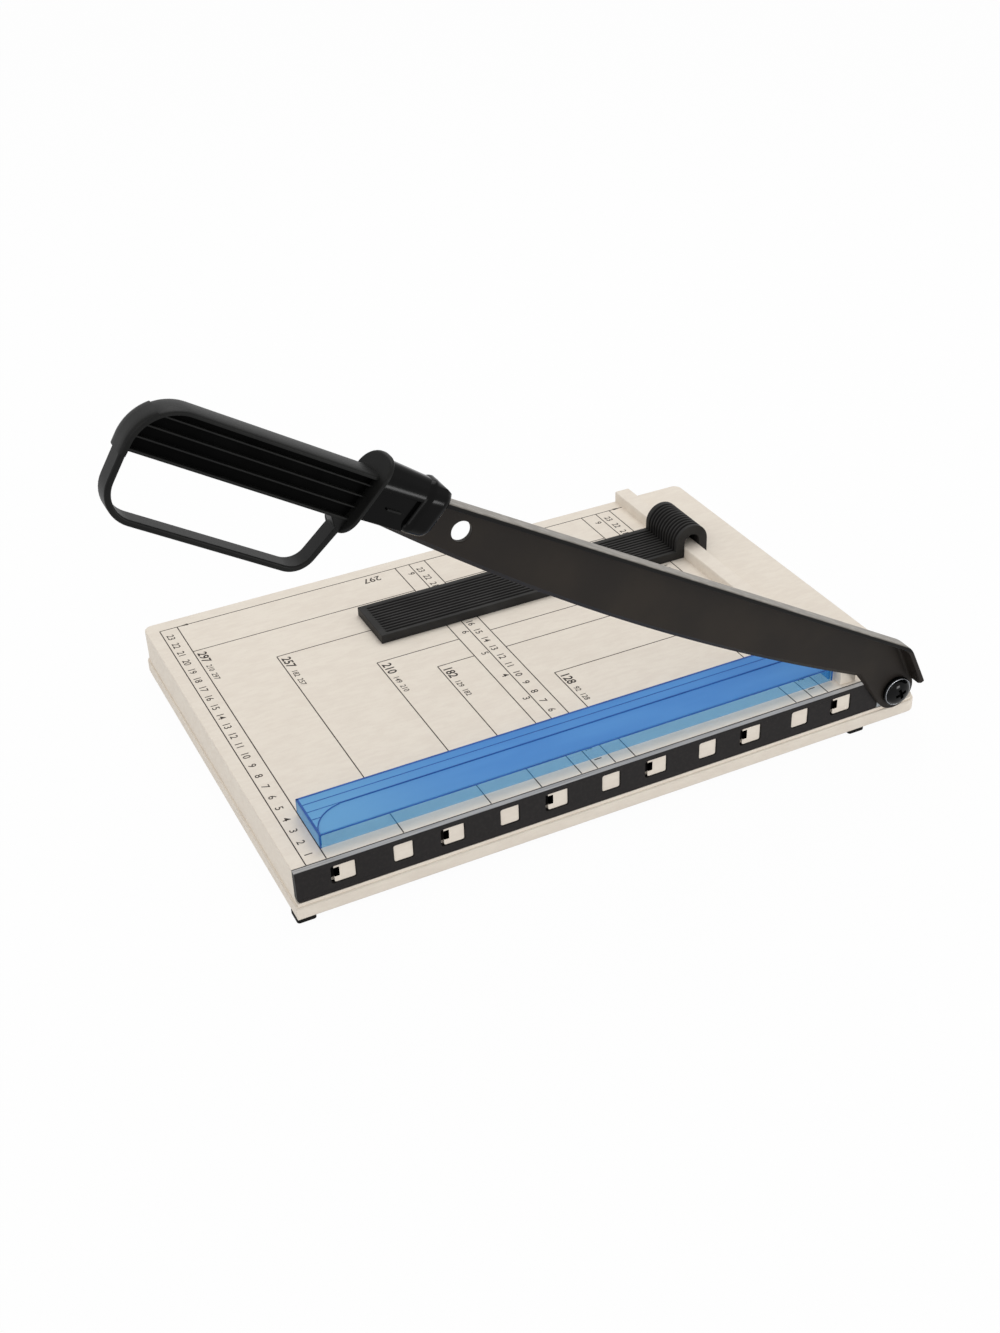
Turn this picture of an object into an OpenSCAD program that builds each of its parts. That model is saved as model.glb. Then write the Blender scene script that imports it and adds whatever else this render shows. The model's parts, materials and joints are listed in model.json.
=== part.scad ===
// Lever paper cutter: a two-shell base with a fixed steel edge, a swinging blade with a
// loop handle, a paper stop that slides on a fence, and a sprung bar that holds the paper.
//
// Board frame, used by every module: x is 0 on the fence face and grows towards the pivot,
// y is 0 on the cut line and grows away from the blade, z is 0 on the board. Millimetres.
// Blade frame: u runs from the pivot to the handle, w is square to the blade's back.

/* [Base] */
// Board from the fence face to the handle end
board_left = 315; // [290:1:340]
// Board from the fence face to the pivot end
board_right = 47; // [46:0.5:56]
// Board from the cut line to the back
board_d = 250; // [235:1:280]
// Thickness of the board
board_t = 2.2; // [1.8:0.1:2.4]
// Height of the upper shell
deck_h = 20; // [19.5:0.5:24]
// Side walls of the upper shell
deck_wall = 3; // [2:0.1:4]
// Upright corners at the back of the base
corner_r = 5; // [2:0.5:9]
// Height of the lower shell
tray_h = 7.2; // [6.5:0.1:10]
// Floor of the lower shell
tray_floor = 2.5; // [2:0.1:3]
// Ledge of the lower shell around the upper one
tray_lip = 1.2; // [0.6:0.1:1.4]
// Ribs under the board
rib_t = 1.6; // [1.2:0.1:2.4]
// Depth of those ribs
rib_h = 9; // [5:0.5:12]
// Width of a rubber foot
foot_w = 10; // [9:0.1:11]
// Height of a rubber foot
foot_h = 3.3; // [2.5:0.1:5]

/* [Fixed edge] */
// Thickness of the steel strip
strip_t = 4; // [3:0.1:5]
// Height of the steel strip
strip_h = 18; // [17:0.1:19]
// End of the strip past the fence face
strip_right = 20.5; // [19:0.1:21]
// Distance from one hook window to the next
window_pitch = 57.4; // [50:0.1:64]
// First hook window from the end of the strip
window_first = 24.3; // [20:0.1:30]
// Lug window from the hook window before it
lug_step = 31.2; // [28:0.1:32]
// Height of the windows
window_h = 10.3; // [8:0.1:11]
// Width of a hook window
hook_w = 12.9; // [11:0.1:14]
// Width of a lug window
lug_w = 10.6; // [8:0.1:12]
// Metal above the windows
window_top = 2.6; // [2:0.1:3]

/* [Fence and stop] */
// Width of the fence rail
rail_w = 10; // [8:0.1:12]
// Height of the fence rail
rail_h = 7; // [6:0.1:9]
// Near end of the rail from the cut line
rail_y = 6.5; // [6:0.1:10]
// Length of the stop's arm from the fence face
stop_l = 200; // [120:1:240]
// Width of the stop along the rail
stop_w = 36; // [26:1:44]
// Thickness of the stop's arm
stop_t = 5.2; // [4:0.1:6]
// Near edge of the stop from the cut line
stop_y = 165; // [100:1:180]
// Wall of the arched sleeve
sleeve_wall = 5.75; // [4:0.05:7]
// Number of grooves across the stop
groove_n = 11; // [6:1:12]
// Depth of a groove
groove_d = 0.7; // [0.3:0.1:1]

/* [Press bar] */
// Left end of the bar from the end of the board
press_margin = 18; // [14:0.5:24]
// Near face of the bar from the cut line
press_y = 10.4; // [8:0.1:14]
// Width of the bar
press_w = 32; // [28:0.5:36]
// Height of the bar
press_h = 8; // [7:0.1:10]
// Gap for the paper under the bar
press_lift = 1.5; // [1.2:0.1:2.5]
// Wall of the bar
press_wall = 2; // [1.5:0.1:2.5]
// Depth of the finger scoop
scoop_d = 1.1; // [0.6:0.1:1.4]
// Coils in each lifting spring
spring_turns = 6; // [4:1:7]

/* [Blade] */
// Angle of the raised blade above the board
rest_angle = 30.6; // [10:0.1:60]
// Pivot from the fence face
pivot_x = 30.2; // [29:0.1:31]
// Pivot below the board
pivot_drop = 7.5; // [7.4:0.1:8]
// Thickness of the blade
blade_t = 2.5; // [2:0.1:3]
// Back of the blade above the pivot
blade_back = 27.6; // [25:0.1:29]
// Width of the stiffening flange
flange_w = 12; // [8:0.1:13]
// Radius of the convex cutting edge
edge_r = 1390; // [1200:10:1600]
// Lowest point of the edge from the pivot
edge_mid = 162; // [150:1:175]
// Lowest point of the edge below the pivot
edge_drop = 5.4; // [4:0.1:7]
// Height of the ground bevel
bevel_h = 2.5; // [1:0.1:4]
// Radius of the rounded tail
tail_r = 11.6; // [11:0.1:12]
// Inside of the hood past the tail
hood_step = -0.6; // [-0.8:0.1:0]
// Slope of the hood over the bolt
hood_angle = 34.6; // [30:0.1:40]
// Bend radius of the hood
hood_r = 16; // [10:0.5:20]
// Radius of the hanging hole
hang_r = 5; // [3:0.1:6]

/* [Handle] */
// Collar past the end of the board
collar_gap = 9.9; // [9:0.1:12]
// Thickness of the collar
collar_t = 3.5; // [2.5:0.1:5]
// Lean of the collar and of the neck's end
collar_lean = 14; // [8:0.5:16]
// Length of the neck that sleeves the blade
neck_l = 34.5; // [30:0.5:38]
// Length of the boss at the end of the neck
boss_l = 12.5; // [9:0.5:14]
// Length of the grip past the collar
grip_l = 108; // [100:0.5:115]
// Depth of the grip
grip_w = 14; // [12:0.5:18]
// Rise of the grip's axis from the blade's back
grip_tilt = 1.3; // [0:0.1:3]
// Rim of the grip around its recessed sides
grip_rim = 2.4; // [1.8:0.1:3]
// Depth of those recesses
grip_recess = 3.4; // [2:0.1:4.5]
// Underside of the finger loop below the pivot line
loop_drop = 21.6; // [19:0.1:22]
// Thickness of the finger loop
loop_t = 2.8; // [2:0.1:4]
// Depth of the finger loop
loop_w = 10; // [8:0.5:13]

/* [Pivot] */
// Radius of the bolt's head
bolt_head_r = 8.6; // [8.2:0.1:9]
// Radius of the bolt's shoulder
shoulder_r = 4; // [3.6:0.1:4.4]
// Radius of the bolt's thread
thread_r = 3; // [2.5:0.1:3.2]

/* [Hidden] */
$fn = 64;

cream = [0.90, 0.86, 0.80];
black = [0.07, 0.07, 0.08];
charcoal = [0.15, 0.15, 0.16];
steel = [0.66, 0.68, 0.70];
blue = [0.25, 0.52, 0.82, 0.75];

// Play of a screw in its hole, of a sliding piece on its guide, and of a turning piece
screw_play = 0.05;
slide_play = 0.25;
turn_play = 0.05;
thrust_play = 0.1;
blade_gap = 0.3;
// Overshoot of a cut past the face it opens
over = 1;

stand_h = deck_h + tray_h + foot_h;
cavity = [-board_left + deck_wall, board_right - deck_wall, strip_t + deck_wall, board_d - deck_wall];

// Strip windows: a row of hooks with a lug between each pair
strip_l = board_left + strip_right;
window_end = 5;
hook_n = floor((strip_l - window_first - hook_w / 2 - window_end) / window_pitch) + 1;
hook_x = [for (i = [0 : hook_n - 1]) -board_left + window_first + i * window_pitch];
lug_x = [for (i = [0 : hook_n - 2]) hook_x[i] + lug_step];
window_z = -window_top - window_h / 2;
window_r = 1.2;
strip_corner_r = 2;
hook_slot = [3.6, 4.6];
tab_fit = 0.3;
tab_h = strip_t * 0.35;
strip_seat = 0.2;
strip_screw_z = -strip_h + (strip_h - window_top - window_h) / 2;

// Small screws: shank and pan head
screw_r = 1.5;
head_r = 2.8;
head_h = 1.9;
strip_screw_depth = strip_t - 1.6;

// Screws that close the base, in bosses of both shells
boss_r = 4;
boss_x = [-board_left + 14, (board_right - board_left) / 2, board_right - 12];
boss_y = [strip_t + 36, board_d - 14];
boss_at = [for (x = boss_x, y = boss_y) [x, y]];
counterbore_h = 3;
tray_screw_l = 12;

foot_mid = foot_w / 2 + 0.2;
foot_back_y = board_d - foot_mid - 2;
foot_at = [[-board_left - tray_lip + foot_w / 2, foot_mid], [pivot_x - 21, foot_mid],
    [-board_left + foot_mid + 3, foot_back_y], [board_right - foot_mid - 3, foot_back_y]];
foot_corner = 1.5;
stem_r = 2;
stem_h = tray_floor - 0.4;

rib_z = [-board_t - rib_h, -board_t / 2];
rib_x = [for (s = [1, 3]) cavity[0] + (cavity[1] - cavity[0]) * s / 4];
rib_y = [for (s = [1, 2]) cavity[2] + (cavity[3] - cavity[2]) * s / 3];

rail_screw_y = [for (s = [0.15, 0.5, 0.9]) rail_y + (board_d - rail_y) * s];
rail_screw_depth = rail_h - 2;

// Stop sleeve, an arch around the rail
sleeve_in = rail_w / 2 + slide_play;
sleeve_out = sleeve_in + sleeve_wall;
sleeve_z = rail_h + 0.5;
sleeve_top_z = sleeve_z + 1.3;
stop_float = 0.3;
stop_far_rim = 3;
stop_end_rim = 4.5;
stop_near_rim = 4.5;
groove_pitch = (stop_w - stop_near_rim - stop_far_rim) / groove_n;
groove_w = groove_pitch * 0.45;

// Press bar, its pins and the pockets that hold its springs
press_x0 = -board_left + press_margin;
press_x1 = -2.5;
press_z1 = press_lift + press_h;
press_lines = [for (i = [0 : 2]) press_y + press_w - 6.4 * (i + 1)];
line_w = 0.6;
line_d = 0.45;
scoop_y0 = press_y + press_wall;
scoop_y1 = press_lines[1];
scoop_end = 28;
scoop_r = pow((scoop_y1 - scoop_y0) / 2, 2) / (2 * scoop_d) + scoop_d / 2;
pin_r = 1.5;
pin_head_r = 3.2;
pin_head_h = 2.1;
pin_boss_r = 4;
pin_inset = 10;
pin_y = press_y + press_w - pin_boss_r - press_wall / 2;
pin_at = [for (x = [press_x0 + pin_inset, press_x1 - pin_inset]) [x, pin_y]];
pocket_r = 4.3;
pocket_wall = 1.7;
pocket_depth = 9;
pocket_floor = 2;
pin_play = 0.1;
spring_wire = 0.7;
spring_r = 2.9;
spring_seat = 0.1;

// Blade outline values
blade_y1 = -blade_gap;
blade_y0 = blade_y1 - blade_t;
flange_y0 = blade_y1 - flange_w;
edge_start = 30;
edge_heel = 0.5;
heel = [edge_start, edge_r - edge_drop - sqrt(edge_r * edge_r - pow(edge_start - edge_mid, 2)) - edge_heel];
heel_tangent = atan2(heel.y, heel.x) - acos(tail_r / norm(heel));
collar_u = pivot_x + board_left + collar_gap;
blade_end = collar_u - 8;
hang_at = [collar_u - 53.6, (blade_back - blade_t) * 0.58];
hood_n = [-sin(hood_angle), cos(hood_angle)];

// Handle: sections are drawn about neck_y, lengths are stated at lean_w above the pivot line
neck_u = collar_u - neck_l;
neck_y = -6;
lean_w = 20;
neck_half = 8.5;
neck_top = 35.2;
neck_low = 9.5;
boss_half = 10;
boss_top = 35.6;
boss_slope = 22;
boss_end_r = 5;
boss_edge_r = 1.2;
neck_pocket_d = 6;
neck_pocket_top = 28.2;
neck_rib_l = 8;
neck_rib_w = [15.9, 16.8];
neck_rib_d = 1.2;
collar_half = 10.8;
collar_top = 37.2;
collar_low = 0.8;
section_r = 7;
grip_u1 = collar_u + grip_l;
grip_top = 30.2;
grip_low = 8;
grip_corner_r = 21;
grip_ribs = 3;
grip_pad = 0.6;
grip_pad_arc = [12, 74];
grip_rib_t = 0.9;
grip_rib_inset = 0.6;
loop_corner_r = 15;
loop_post_u = collar_u + 15;
loop_post_r = 12;
loop_post_rise = [-10.4, 32.1];
loop_post_t = 3;
loop_y = neck_y - 1;
back_y = neck_y + neck_half;
handle_screw_u = [neck_u + 6, neck_u + 20];
handle_screw_w = 18;
handle_screw_r = 1.75;
handle_head_r = 3.2;
handle_head_h = 1.4;
handle_screw_y = neck_y - neck_half + neck_pocket_d + 1;
blade_fit = 0.1;

// Pivot stack along y
washer_t = 1;
washer_y1 = blade_y0 - thrust_play;
washer_y0 = washer_y1 - washer_t;
bolt_head_t = 3;
bolt_seat_y = washer_y0;
bolt_dome_r = bolt_head_r - 1;
bolt_dome_h = 1.4;
bolt_cross_w = 1.6;
bolt_cross_l = 6.4;
bolt_cross_d = 2.2;
bolt_cross_turn = 20;
bracket_y0 = 0.4;
bracket_x = [strip_right + 0.8, pivot_x + 9.5];
bracket_top = 0.6;
bracket_boss_r = 5;
bracket_boss_y = strip_t + deck_wall + 6;
bracket_screw_at = [[bracket_x[0] + 3, -strip_h + 3.6], [bracket_x[1] - 3.5, -strip_h + 3.6]];
bracket_screw_depth = 2.4;
spring_washer_r = 5;
spring_washer_t = 0.8;
spring_washer_h = 0.5;
spring_washer_n = 2;
nut_y = bracket_boss_y + spring_washer_n * (spring_washer_t + spring_washer_h) + thrust_play;
nut_af = 10;
nut_h = 5;
nut_collar_h = 1.2;
bolt_end_y = nut_y + nut_h + nut_collar_h + 1;

// The part's origin: middle of the whole cutter's box, on the surface it stands on
tip_u = grip_u1 - loop_corner_r;
tip_w = loop_corner_r - loop_drop + (tip_u - collar_u) * sin(grip_tilt);
tip_x = pivot_x - tip_u * cos(rest_angle) + tip_w * sin(rest_angle) - loop_corner_r;
origin_x = (tip_x + board_right + tray_lip) / 2;
origin_y = (neck_y - collar_half + board_d + tray_lip) / 2;

module part_frame() {
    translate([-origin_x, -origin_y, stand_h]) children();
}

module blade_frame() {
    translate([pivot_x, 0, -pivot_drop]) rotate([0, rest_angle, 0]) mirror([1, 0, 0]) children();
}

// Extrudes an outline drawn in x and z from y0 to y1
module along_y(y0, y1) {
    translate([0, y1, 0]) rotate([90, 0, 0]) linear_extrude(y1 - y0) children();
}

// Extrudes an outline drawn in y and z from x0 to x1
module along_x(x0, x1) {
    translate([x0, 0, 0]) rotate([90, 0, 90]) linear_extrude(x1 - x0) children();
}

module block(x, y, z) {
    translate([x[0], y[0], z[0]]) cube([x[1] - x[0], y[1] - y[0], z[1] - z[0]]);
}

// Cylinder along y from y0 to y1
module rod_y(x, z, r, y0, y1) {
    translate([x, y1, z]) rotate([90, 0, 0]) cylinder(h = y1 - y0, r = r);
}

// Cylinder along z from z0 to z1
module rod_z(at, r, z0, z1) {
    translate([at[0], at[1], z0]) cylinder(h = z1 - z0, r = r);
}

// Outline with every corner [x, y, radius] turned into an arc
function unit(v) = v / norm(v);
function corner_arc(a, b, c, r, n) =
    let (
        u = unit(a - b),
        v = unit(c - b),
        half = acos(u * v) / 2,
        mid = b + unit(u + v) * r / sin(half),
        p = b + u * r / tan(half) - mid,
        q = b + v * r / tan(half) - mid,
        start = atan2(p.y, p.x),
        turn = (atan2(q.y, q.x) - start + 540) % 360 - 180
    )
    [for (i = [0 : n]) mid + r * [cos(start + turn * i / n), sin(start + turn * i / n)]];
function flat(p) = [p.x, p.y];
function rounded(pts, n = 10) =
    let (last = len(pts) - 1)
    [for (i = [0 : last])
        let (a = flat(pts[i == 0 ? last : i - 1]), c = flat(pts[i == last ? 0 : i + 1]))
        each pts[i].z > 0 ? corner_arc(a, flat(pts[i]), c, pts[i].z, n) : [flat(pts[i])]];

// Rectangle with round corners, about its middle
module round_rect(w, h, r) {
    square([w - 2 * r, h], center = true);
    square([w, h - 2 * r], center = true);
    for (x = [-1, 1], y = [-1, 1])
        translate([x * (w / 2 - r), y * (h / 2 - r)]) circle(r);
}

// Plan of a shell of the base: round corners at the back and at the pivot
module base_plan(x, y, r) {
    difference() {
        union() {
            translate([x[0], y[0]]) square([x[1] - x[0], y[1] - y[0] - r]);
            translate([x[0] + r, y[0]]) square([x[1] - x[0] - 2 * r, y[1] - y[0]]);
            for (cx = [x[0] + r, x[1] - r])
                translate([cx, y[1] - r]) circle(r);
        }
        translate([x[1] - r, y[0] - over]) difference() {
            square([r + over, r + over]);
            translate([0, r + over]) circle(r);
        }
    }
}

module cavity_plan() {
    base_plan([cavity[0], cavity[1]], [cavity[2], cavity[3]], max(corner_r - deck_wall, 1));
}

// Upper shell, with the lugs and hooks that locate the strip and the pockets for the press springs
module deck() color(cream) part_frame() difference() {
    union() {
        difference() {
            translate([0, 0, -deck_h]) linear_extrude(deck_h)
                base_plan([-board_left, board_right], [strip_t, board_d], corner_r);
            translate([0, 0, -deck_h - over]) linear_extrude(deck_h - board_t + over) cavity_plan();
        }
        translate([0, 0, -deck_h]) linear_extrude(deck_h - strip_h - strip_seat) intersection() {
            base_plan([-board_left, board_right], [0, board_d], corner_r);
            translate([-board_left, 0]) square([board_left + board_right, strip_t + deck_wall]);
        }
        for (x = hook_x)
            translate([x, 0, window_z]) along_y(strip_t - tab_h, strip_t + deck_wall)
                round_rect(hook_w - 2 * tab_fit, window_h - 2 * tab_fit, window_r);
        for (x = lug_x)
            translate([x, 0, window_z]) along_y(strip_t - tab_h, strip_t + deck_wall)
                round_rect(lug_w - 2 * tab_fit, window_h - 2 * tab_fit, window_r);
        for (at = boss_at)
            rod_z(at, boss_r, -deck_h, -board_t / 2);
        for (at = pin_at)
            rod_z(at, pocket_r + pocket_wall, -pocket_depth - pocket_floor, -board_t / 2);
        for (x = rib_x)
            block([x - rib_t / 2, x + rib_t / 2], [cavity[2] - over, cavity[3] + over], rib_z);
        for (y = rib_y)
            block([cavity[0] - over, cavity[1] + over], [y - rib_t / 2, y + rib_t / 2], rib_z);
    }
    // Slot beside each hook, open into the shell
    for (x = hook_x)
        block([x - hook_w / 2, x - hook_w / 2 + hook_slot[0]], [-over, strip_t + deck_wall + over],
            [window_z - hook_slot[1] / 2, window_z + hook_slot[1] / 2]);
    for (at = boss_at)
        rod_z(at, screw_r + screw_play, -deck_h - over, -deck_h + tray_screw_l - counterbore_h);
    for (at = pin_at) {
        rod_z(at, pocket_r, -pocket_depth, over);
        rod_z(at, pin_r + pin_play, -pocket_depth - pocket_floor - over, 0);
    }
    for (y = rail_screw_y)
        rod_z([rail_w / 2, y], screw_r + screw_play, -board_t - over, over);
    for (x = lug_x)
        rod_y(x, strip_screw_z, screw_r + screw_play, strip_t - over, strip_t + deck_wall + over);
    for (at = bracket_screw_at)
        rod_y(at[0], at[1], screw_r + screw_play, strip_t - over, strip_t + deck_wall + over);
    rod_y(pivot_x, -pivot_drop, bracket_boss_r + screw_play, strip_t - over, strip_t + deck_wall + over);
}

// Lower shell, with a boss around each screw that closes the base
module tray() color(cream) part_frame() difference() {
    union() {
        translate([0, 0, -deck_h - tray_h]) difference() {
            linear_extrude(tray_h)
                base_plan([-board_left - tray_lip, board_right + tray_lip], [-tray_lip, board_d + tray_lip],
                    corner_r + tray_lip);
            translate([0, 0, tray_floor]) linear_extrude(tray_h) cavity_plan();
        }
        for (at = boss_at)
            rod_z(at, boss_r, -deck_h - tray_h + tray_floor / 2, -deck_h);
    }
    for (at = boss_at) {
        rod_z(at, head_r + screw_play, -deck_h - tray_h - over, -deck_h - tray_h + counterbore_h);
        rod_z(at, screw_r + screw_play, -deck_h - tray_h, -deck_h + over);
    }
    for (at = foot_at)
        rod_z(at, stem_r + screw_play, -deck_h - tray_h - over, -deck_h - tray_h + tray_floor + over);
}

// Rubber feet, each pushed into the tray by its stem
module feet() color(black) part_frame()
    for (at = foot_at)
        translate([at[0], at[1], -stand_h]) {
            linear_extrude(foot_h) round_rect(foot_w, foot_w, foot_corner);
            cylinder(h = foot_h + stem_h, r = stem_r);
        }

// Pan-head screw pointing up, seated under its head
module screw_up(at, seat_z, l) {
    rod_z(at, head_r, seat_z - head_h, seat_z);
    rod_z(at, screw_r, seat_z - head_h / 2, seat_z + l);
}

// Pan-head screw pointing towards the cut line, seated on the inside of the front wall
module screw_front(x, z, tip_y) {
    seat_y = strip_t + deck_wall;
    rod_y(x, z, head_r, seat_y, seat_y + head_h);
    rod_y(x, z, screw_r, tip_y, seat_y + head_h / 2);
}

module tray_screws() color(steel) part_frame()
    for (at = boss_at)
        screw_up(at, -deck_h - tray_h + counterbore_h, tray_h + tray_screw_l - 2 * counterbore_h - over);

// Steel strip that the blade cuts against
module fixed_blade() color(charcoal) part_frame() difference() {
    along_y(0, strip_t) polygon(rounded([[-board_left, 0, 0], [-board_left, -strip_h, strip_corner_r],
        [strip_right, -strip_h, 0], [strip_right, 0, 0]]));
    for (x = hook_x)
        translate([x, 0, window_z]) along_y(-over, strip_t + over) round_rect(hook_w, window_h, window_r);
    for (x = lug_x) {
        translate([x, 0, window_z]) along_y(-over, strip_t + over) round_rect(lug_w, window_h, window_r);
        rod_y(x, strip_screw_z, screw_r + screw_play, strip_t - strip_screw_depth, strip_t + over);
    }
}

module fixed_blade_screws() color(steel) part_frame()
    for (x = lug_x)
        screw_front(x, strip_screw_z, strip_t - strip_screw_depth + screw_play);

// Rail square to the cut line
module fence_rail() color(cream) part_frame() difference() {
    block([0, rail_w], [rail_y, board_d], [0, rail_h]);
    for (y = rail_screw_y)
        rod_z([rail_w / 2, y], screw_r + screw_play, -over, rail_screw_depth);
}

module fence_screws() color(steel) part_frame()
    for (y = rail_screw_y)
        screw_up([rail_w / 2, y], -board_t, board_t + rail_screw_depth - screw_play);

// Bracket that carries the pivot, with a long boss for the bolt
module pivot_bracket() color(steel) part_frame() difference() {
    union() {
        block(bracket_x, [bracket_y0, strip_t], [-strip_h, -bracket_top]);
        rod_y(pivot_x, -pivot_drop, bracket_boss_r, strip_t - over, bracket_boss_y);
    }
    rod_y(pivot_x, -pivot_drop, thread_r + screw_play, -over, bracket_boss_y + over);
    for (at = bracket_screw_at)
        rod_y(at[0], at[1], screw_r + screw_play, strip_t - bracket_screw_depth, strip_t + over);
}

module bracket_screws() color(steel) part_frame()
    for (at = bracket_screw_at)
        screw_front(at[0], at[1], strip_t - bracket_screw_depth + screw_play);

// Shoulder bolt with a thick domed head and a cross recess
module pivot_bolt() color(black) part_frame() translate([pivot_x, 0, -pivot_drop]) difference() {
    dome_r = (bolt_dome_r * bolt_dome_r + bolt_dome_h * bolt_dome_h) / (2 * bolt_dome_h);
    dome_y = bolt_seat_y - bolt_head_t;
    top_y = dome_y - bolt_dome_h;
    union() {
        rod_y(0, 0, bolt_head_r, dome_y, bolt_seat_y);
        intersection() {
            translate([0, top_y + dome_r, 0]) sphere(dome_r);
            rod_y(0, 0, bolt_dome_r, top_y - over, dome_y + over);
        }
        rod_y(0, 0, shoulder_r, bolt_seat_y, bracket_y0);
        rod_y(0, 0, thread_r, bracket_y0 - over, bolt_end_y);
    }
    for (turn = [0, 90])
        rotate([0, bolt_cross_turn + turn, 0]) block([-bolt_cross_l / 2, bolt_cross_l / 2],
            [top_y - over, top_y + bolt_cross_d], [-bolt_cross_w / 2, bolt_cross_w / 2]);
}

module pivot_washer() color(steel) part_frame() translate([pivot_x, 0, -pivot_drop]) difference() {
    rod_y(0, 0, bolt_head_r - 0.6, washer_y0, washer_y1);
    rod_y(0, 0, shoulder_r + screw_play, washer_y0 - over, washer_y1 + over);
}

// Pair of conical spring washers, laid opposite ways
module pivot_spring_washers() color(steel) part_frame() translate([pivot_x, bracket_boss_y, -pivot_drop])
    for (i = [0 : spring_washer_n - 1])
        translate([0, (spring_washer_t + spring_washer_h) * (i + 0.5), 0]) rotate([i % 2 == 0 ? 90 : -90, 0, 0])
            rotate_extrude() {
                in_r = thread_r + turn_play;
                half = (spring_washer_t + spring_washer_h) / 2;
                polygon([[in_r, half - spring_washer_t], [spring_washer_r, -half],
                    [spring_washer_r, -half + spring_washer_t], [in_r, half]]);
            }

// Lock nut with its round collar
module pivot_nut() color(steel) part_frame() translate([pivot_x, nut_y, -pivot_drop]) difference() {
    union() {
        rotate([-90, 0, 0]) cylinder(h = nut_h, d = nut_af / cos(30), $fn = 6);
        rod_y(0, 0, nut_af / 2 - 0.4, nut_h - over, nut_h + nut_collar_h);
    }
    rod_y(0, 0, thread_r + screw_play, -over, nut_h + nut_collar_h + over);
}

// Section of the stop, drawn in x and z, with its top drawn in by inset
module stop_section(inset) {
    wide = 2 * (sleeve_out - inset);
    difference() {
        union() {
            translate([-stop_l, stop_float]) square([stop_l, stop_t - inset]);
            intersection() {
                translate([rail_w / 2, sleeve_top_z]) circle(wide / 2);
                translate([rail_w / 2 - wide / 2, sleeve_top_z]) square([wide, wide]);
            }
            translate([rail_w / 2 - wide / 2, stop_float]) square([wide, sleeve_top_z - stop_float]);
        }
        translate([rail_w / 2, sleeve_z]) circle(sleeve_in);
        translate([-slide_play, -over]) square([2 * sleeve_in, sleeve_z + over]);
    }
}

// Arm with an arched sleeve over the rail, grooved across its whole back
module paper_stop() color(charcoal) part_frame() translate([0, stop_y, 0]) {
    along_y(0, stop_w) stop_section(groove_d);
    along_y(0, stop_near_rim) stop_section(0);
    for (i = [0 : groove_n - 1])
        translate([0, stop_near_rim + i * groove_pitch + groove_w, 0]) along_y(0, groove_pitch - groove_w)
            stop_section(0);
    along_y(stop_w - stop_far_rim, stop_w) stop_section(0);
    block([-stop_l, -stop_l + stop_end_rim], [0, stop_w], [stop_float, stop_float + stop_t]);
}

// Plan of the finger scoop: a quarter of an ellipse at each end
module scoop_plan() {
    deep = scoop_y1 - scoop_y0 + over;
    ends = [[press_x0 + press_wall + scoop_end, 1], [press_x1 - press_wall - scoop_end, -1]];
    arcs = [for (e = ends) [for (i = [0 : 12])
        let (a = e[1] > 0 ? 180 - i * 7.5 : 90 - i * 7.5)
        [e[0] + scoop_end * cos(a), scoop_y0 - over + deep * sin(a)]]];
    polygon(concat(arcs[0], arcs[1]));
}

// Hollow bar, open below, with ridge lines behind a finger scoop
module press_bar() color(blue) part_frame() difference() {
    union() {
        difference() {
            block([press_x0, press_x1], [press_y, press_y + press_w], [press_lift, press_z1]);
            block([press_x0 + press_wall, press_x1 - press_wall],
                [press_y + press_wall, press_y + press_w - press_wall],
                [press_lift - over, press_z1 - press_wall - scoop_d]);
        }
        for (at = pin_at)
            rod_z(at, pin_boss_r, press_lift, press_z1 - press_wall);
    }
    for (y = press_lines)
        block([press_x0 - over, press_x1 + over], [y - line_w / 2, y + line_w / 2],
            [press_z1 - line_d, press_z1 + over]);
    intersection() {
        translate([0, 0, press_z1 - press_wall]) linear_extrude(press_wall + over) scoop_plan();
        translate([0, (scoop_y0 + scoop_y1) / 2, press_z1 - scoop_d + scoop_r]) rotate([0, 90, 0])
            cylinder(h = 3 * board_left, r = scoop_r, center = true, $fn = 180);
    }
    for (at = pin_at)
        rod_z(at, pin_r + screw_play, press_lift - over, press_z1 - press_wall - scoop_d);
}

// Headed pins that guide the bar in the deck
module press_pins() color(steel) part_frame()
    for (at = pin_at) {
        head_z = -pocket_depth - pocket_floor - pin_play;
        rod_z(at, pin_head_r, head_z - pin_head_h, head_z);
        rod_z(at, pin_r, head_z - over, press_z1 - press_wall - scoop_d - screw_play);
    }

// Route of one spring: a straight end, the coils, and a straight end
spring_l = pocket_depth + press_lift - 2 * spring_seat;
spring_rise = spring_l - 2 * spring_wire;
spring_steps = spring_turns * 8;
spring_route = concat(
    [[0, 0]],
    [for (i = [0 : spring_steps])
        [360 * spring_turns * i / spring_steps, spring_wire + spring_rise * i / spring_steps]],
    [[360 * spring_turns, spring_l]]);
spring_gap = spring_rise / spring_turns - spring_wire;
echo("least gap between spring coils", spring_gap);

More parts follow.
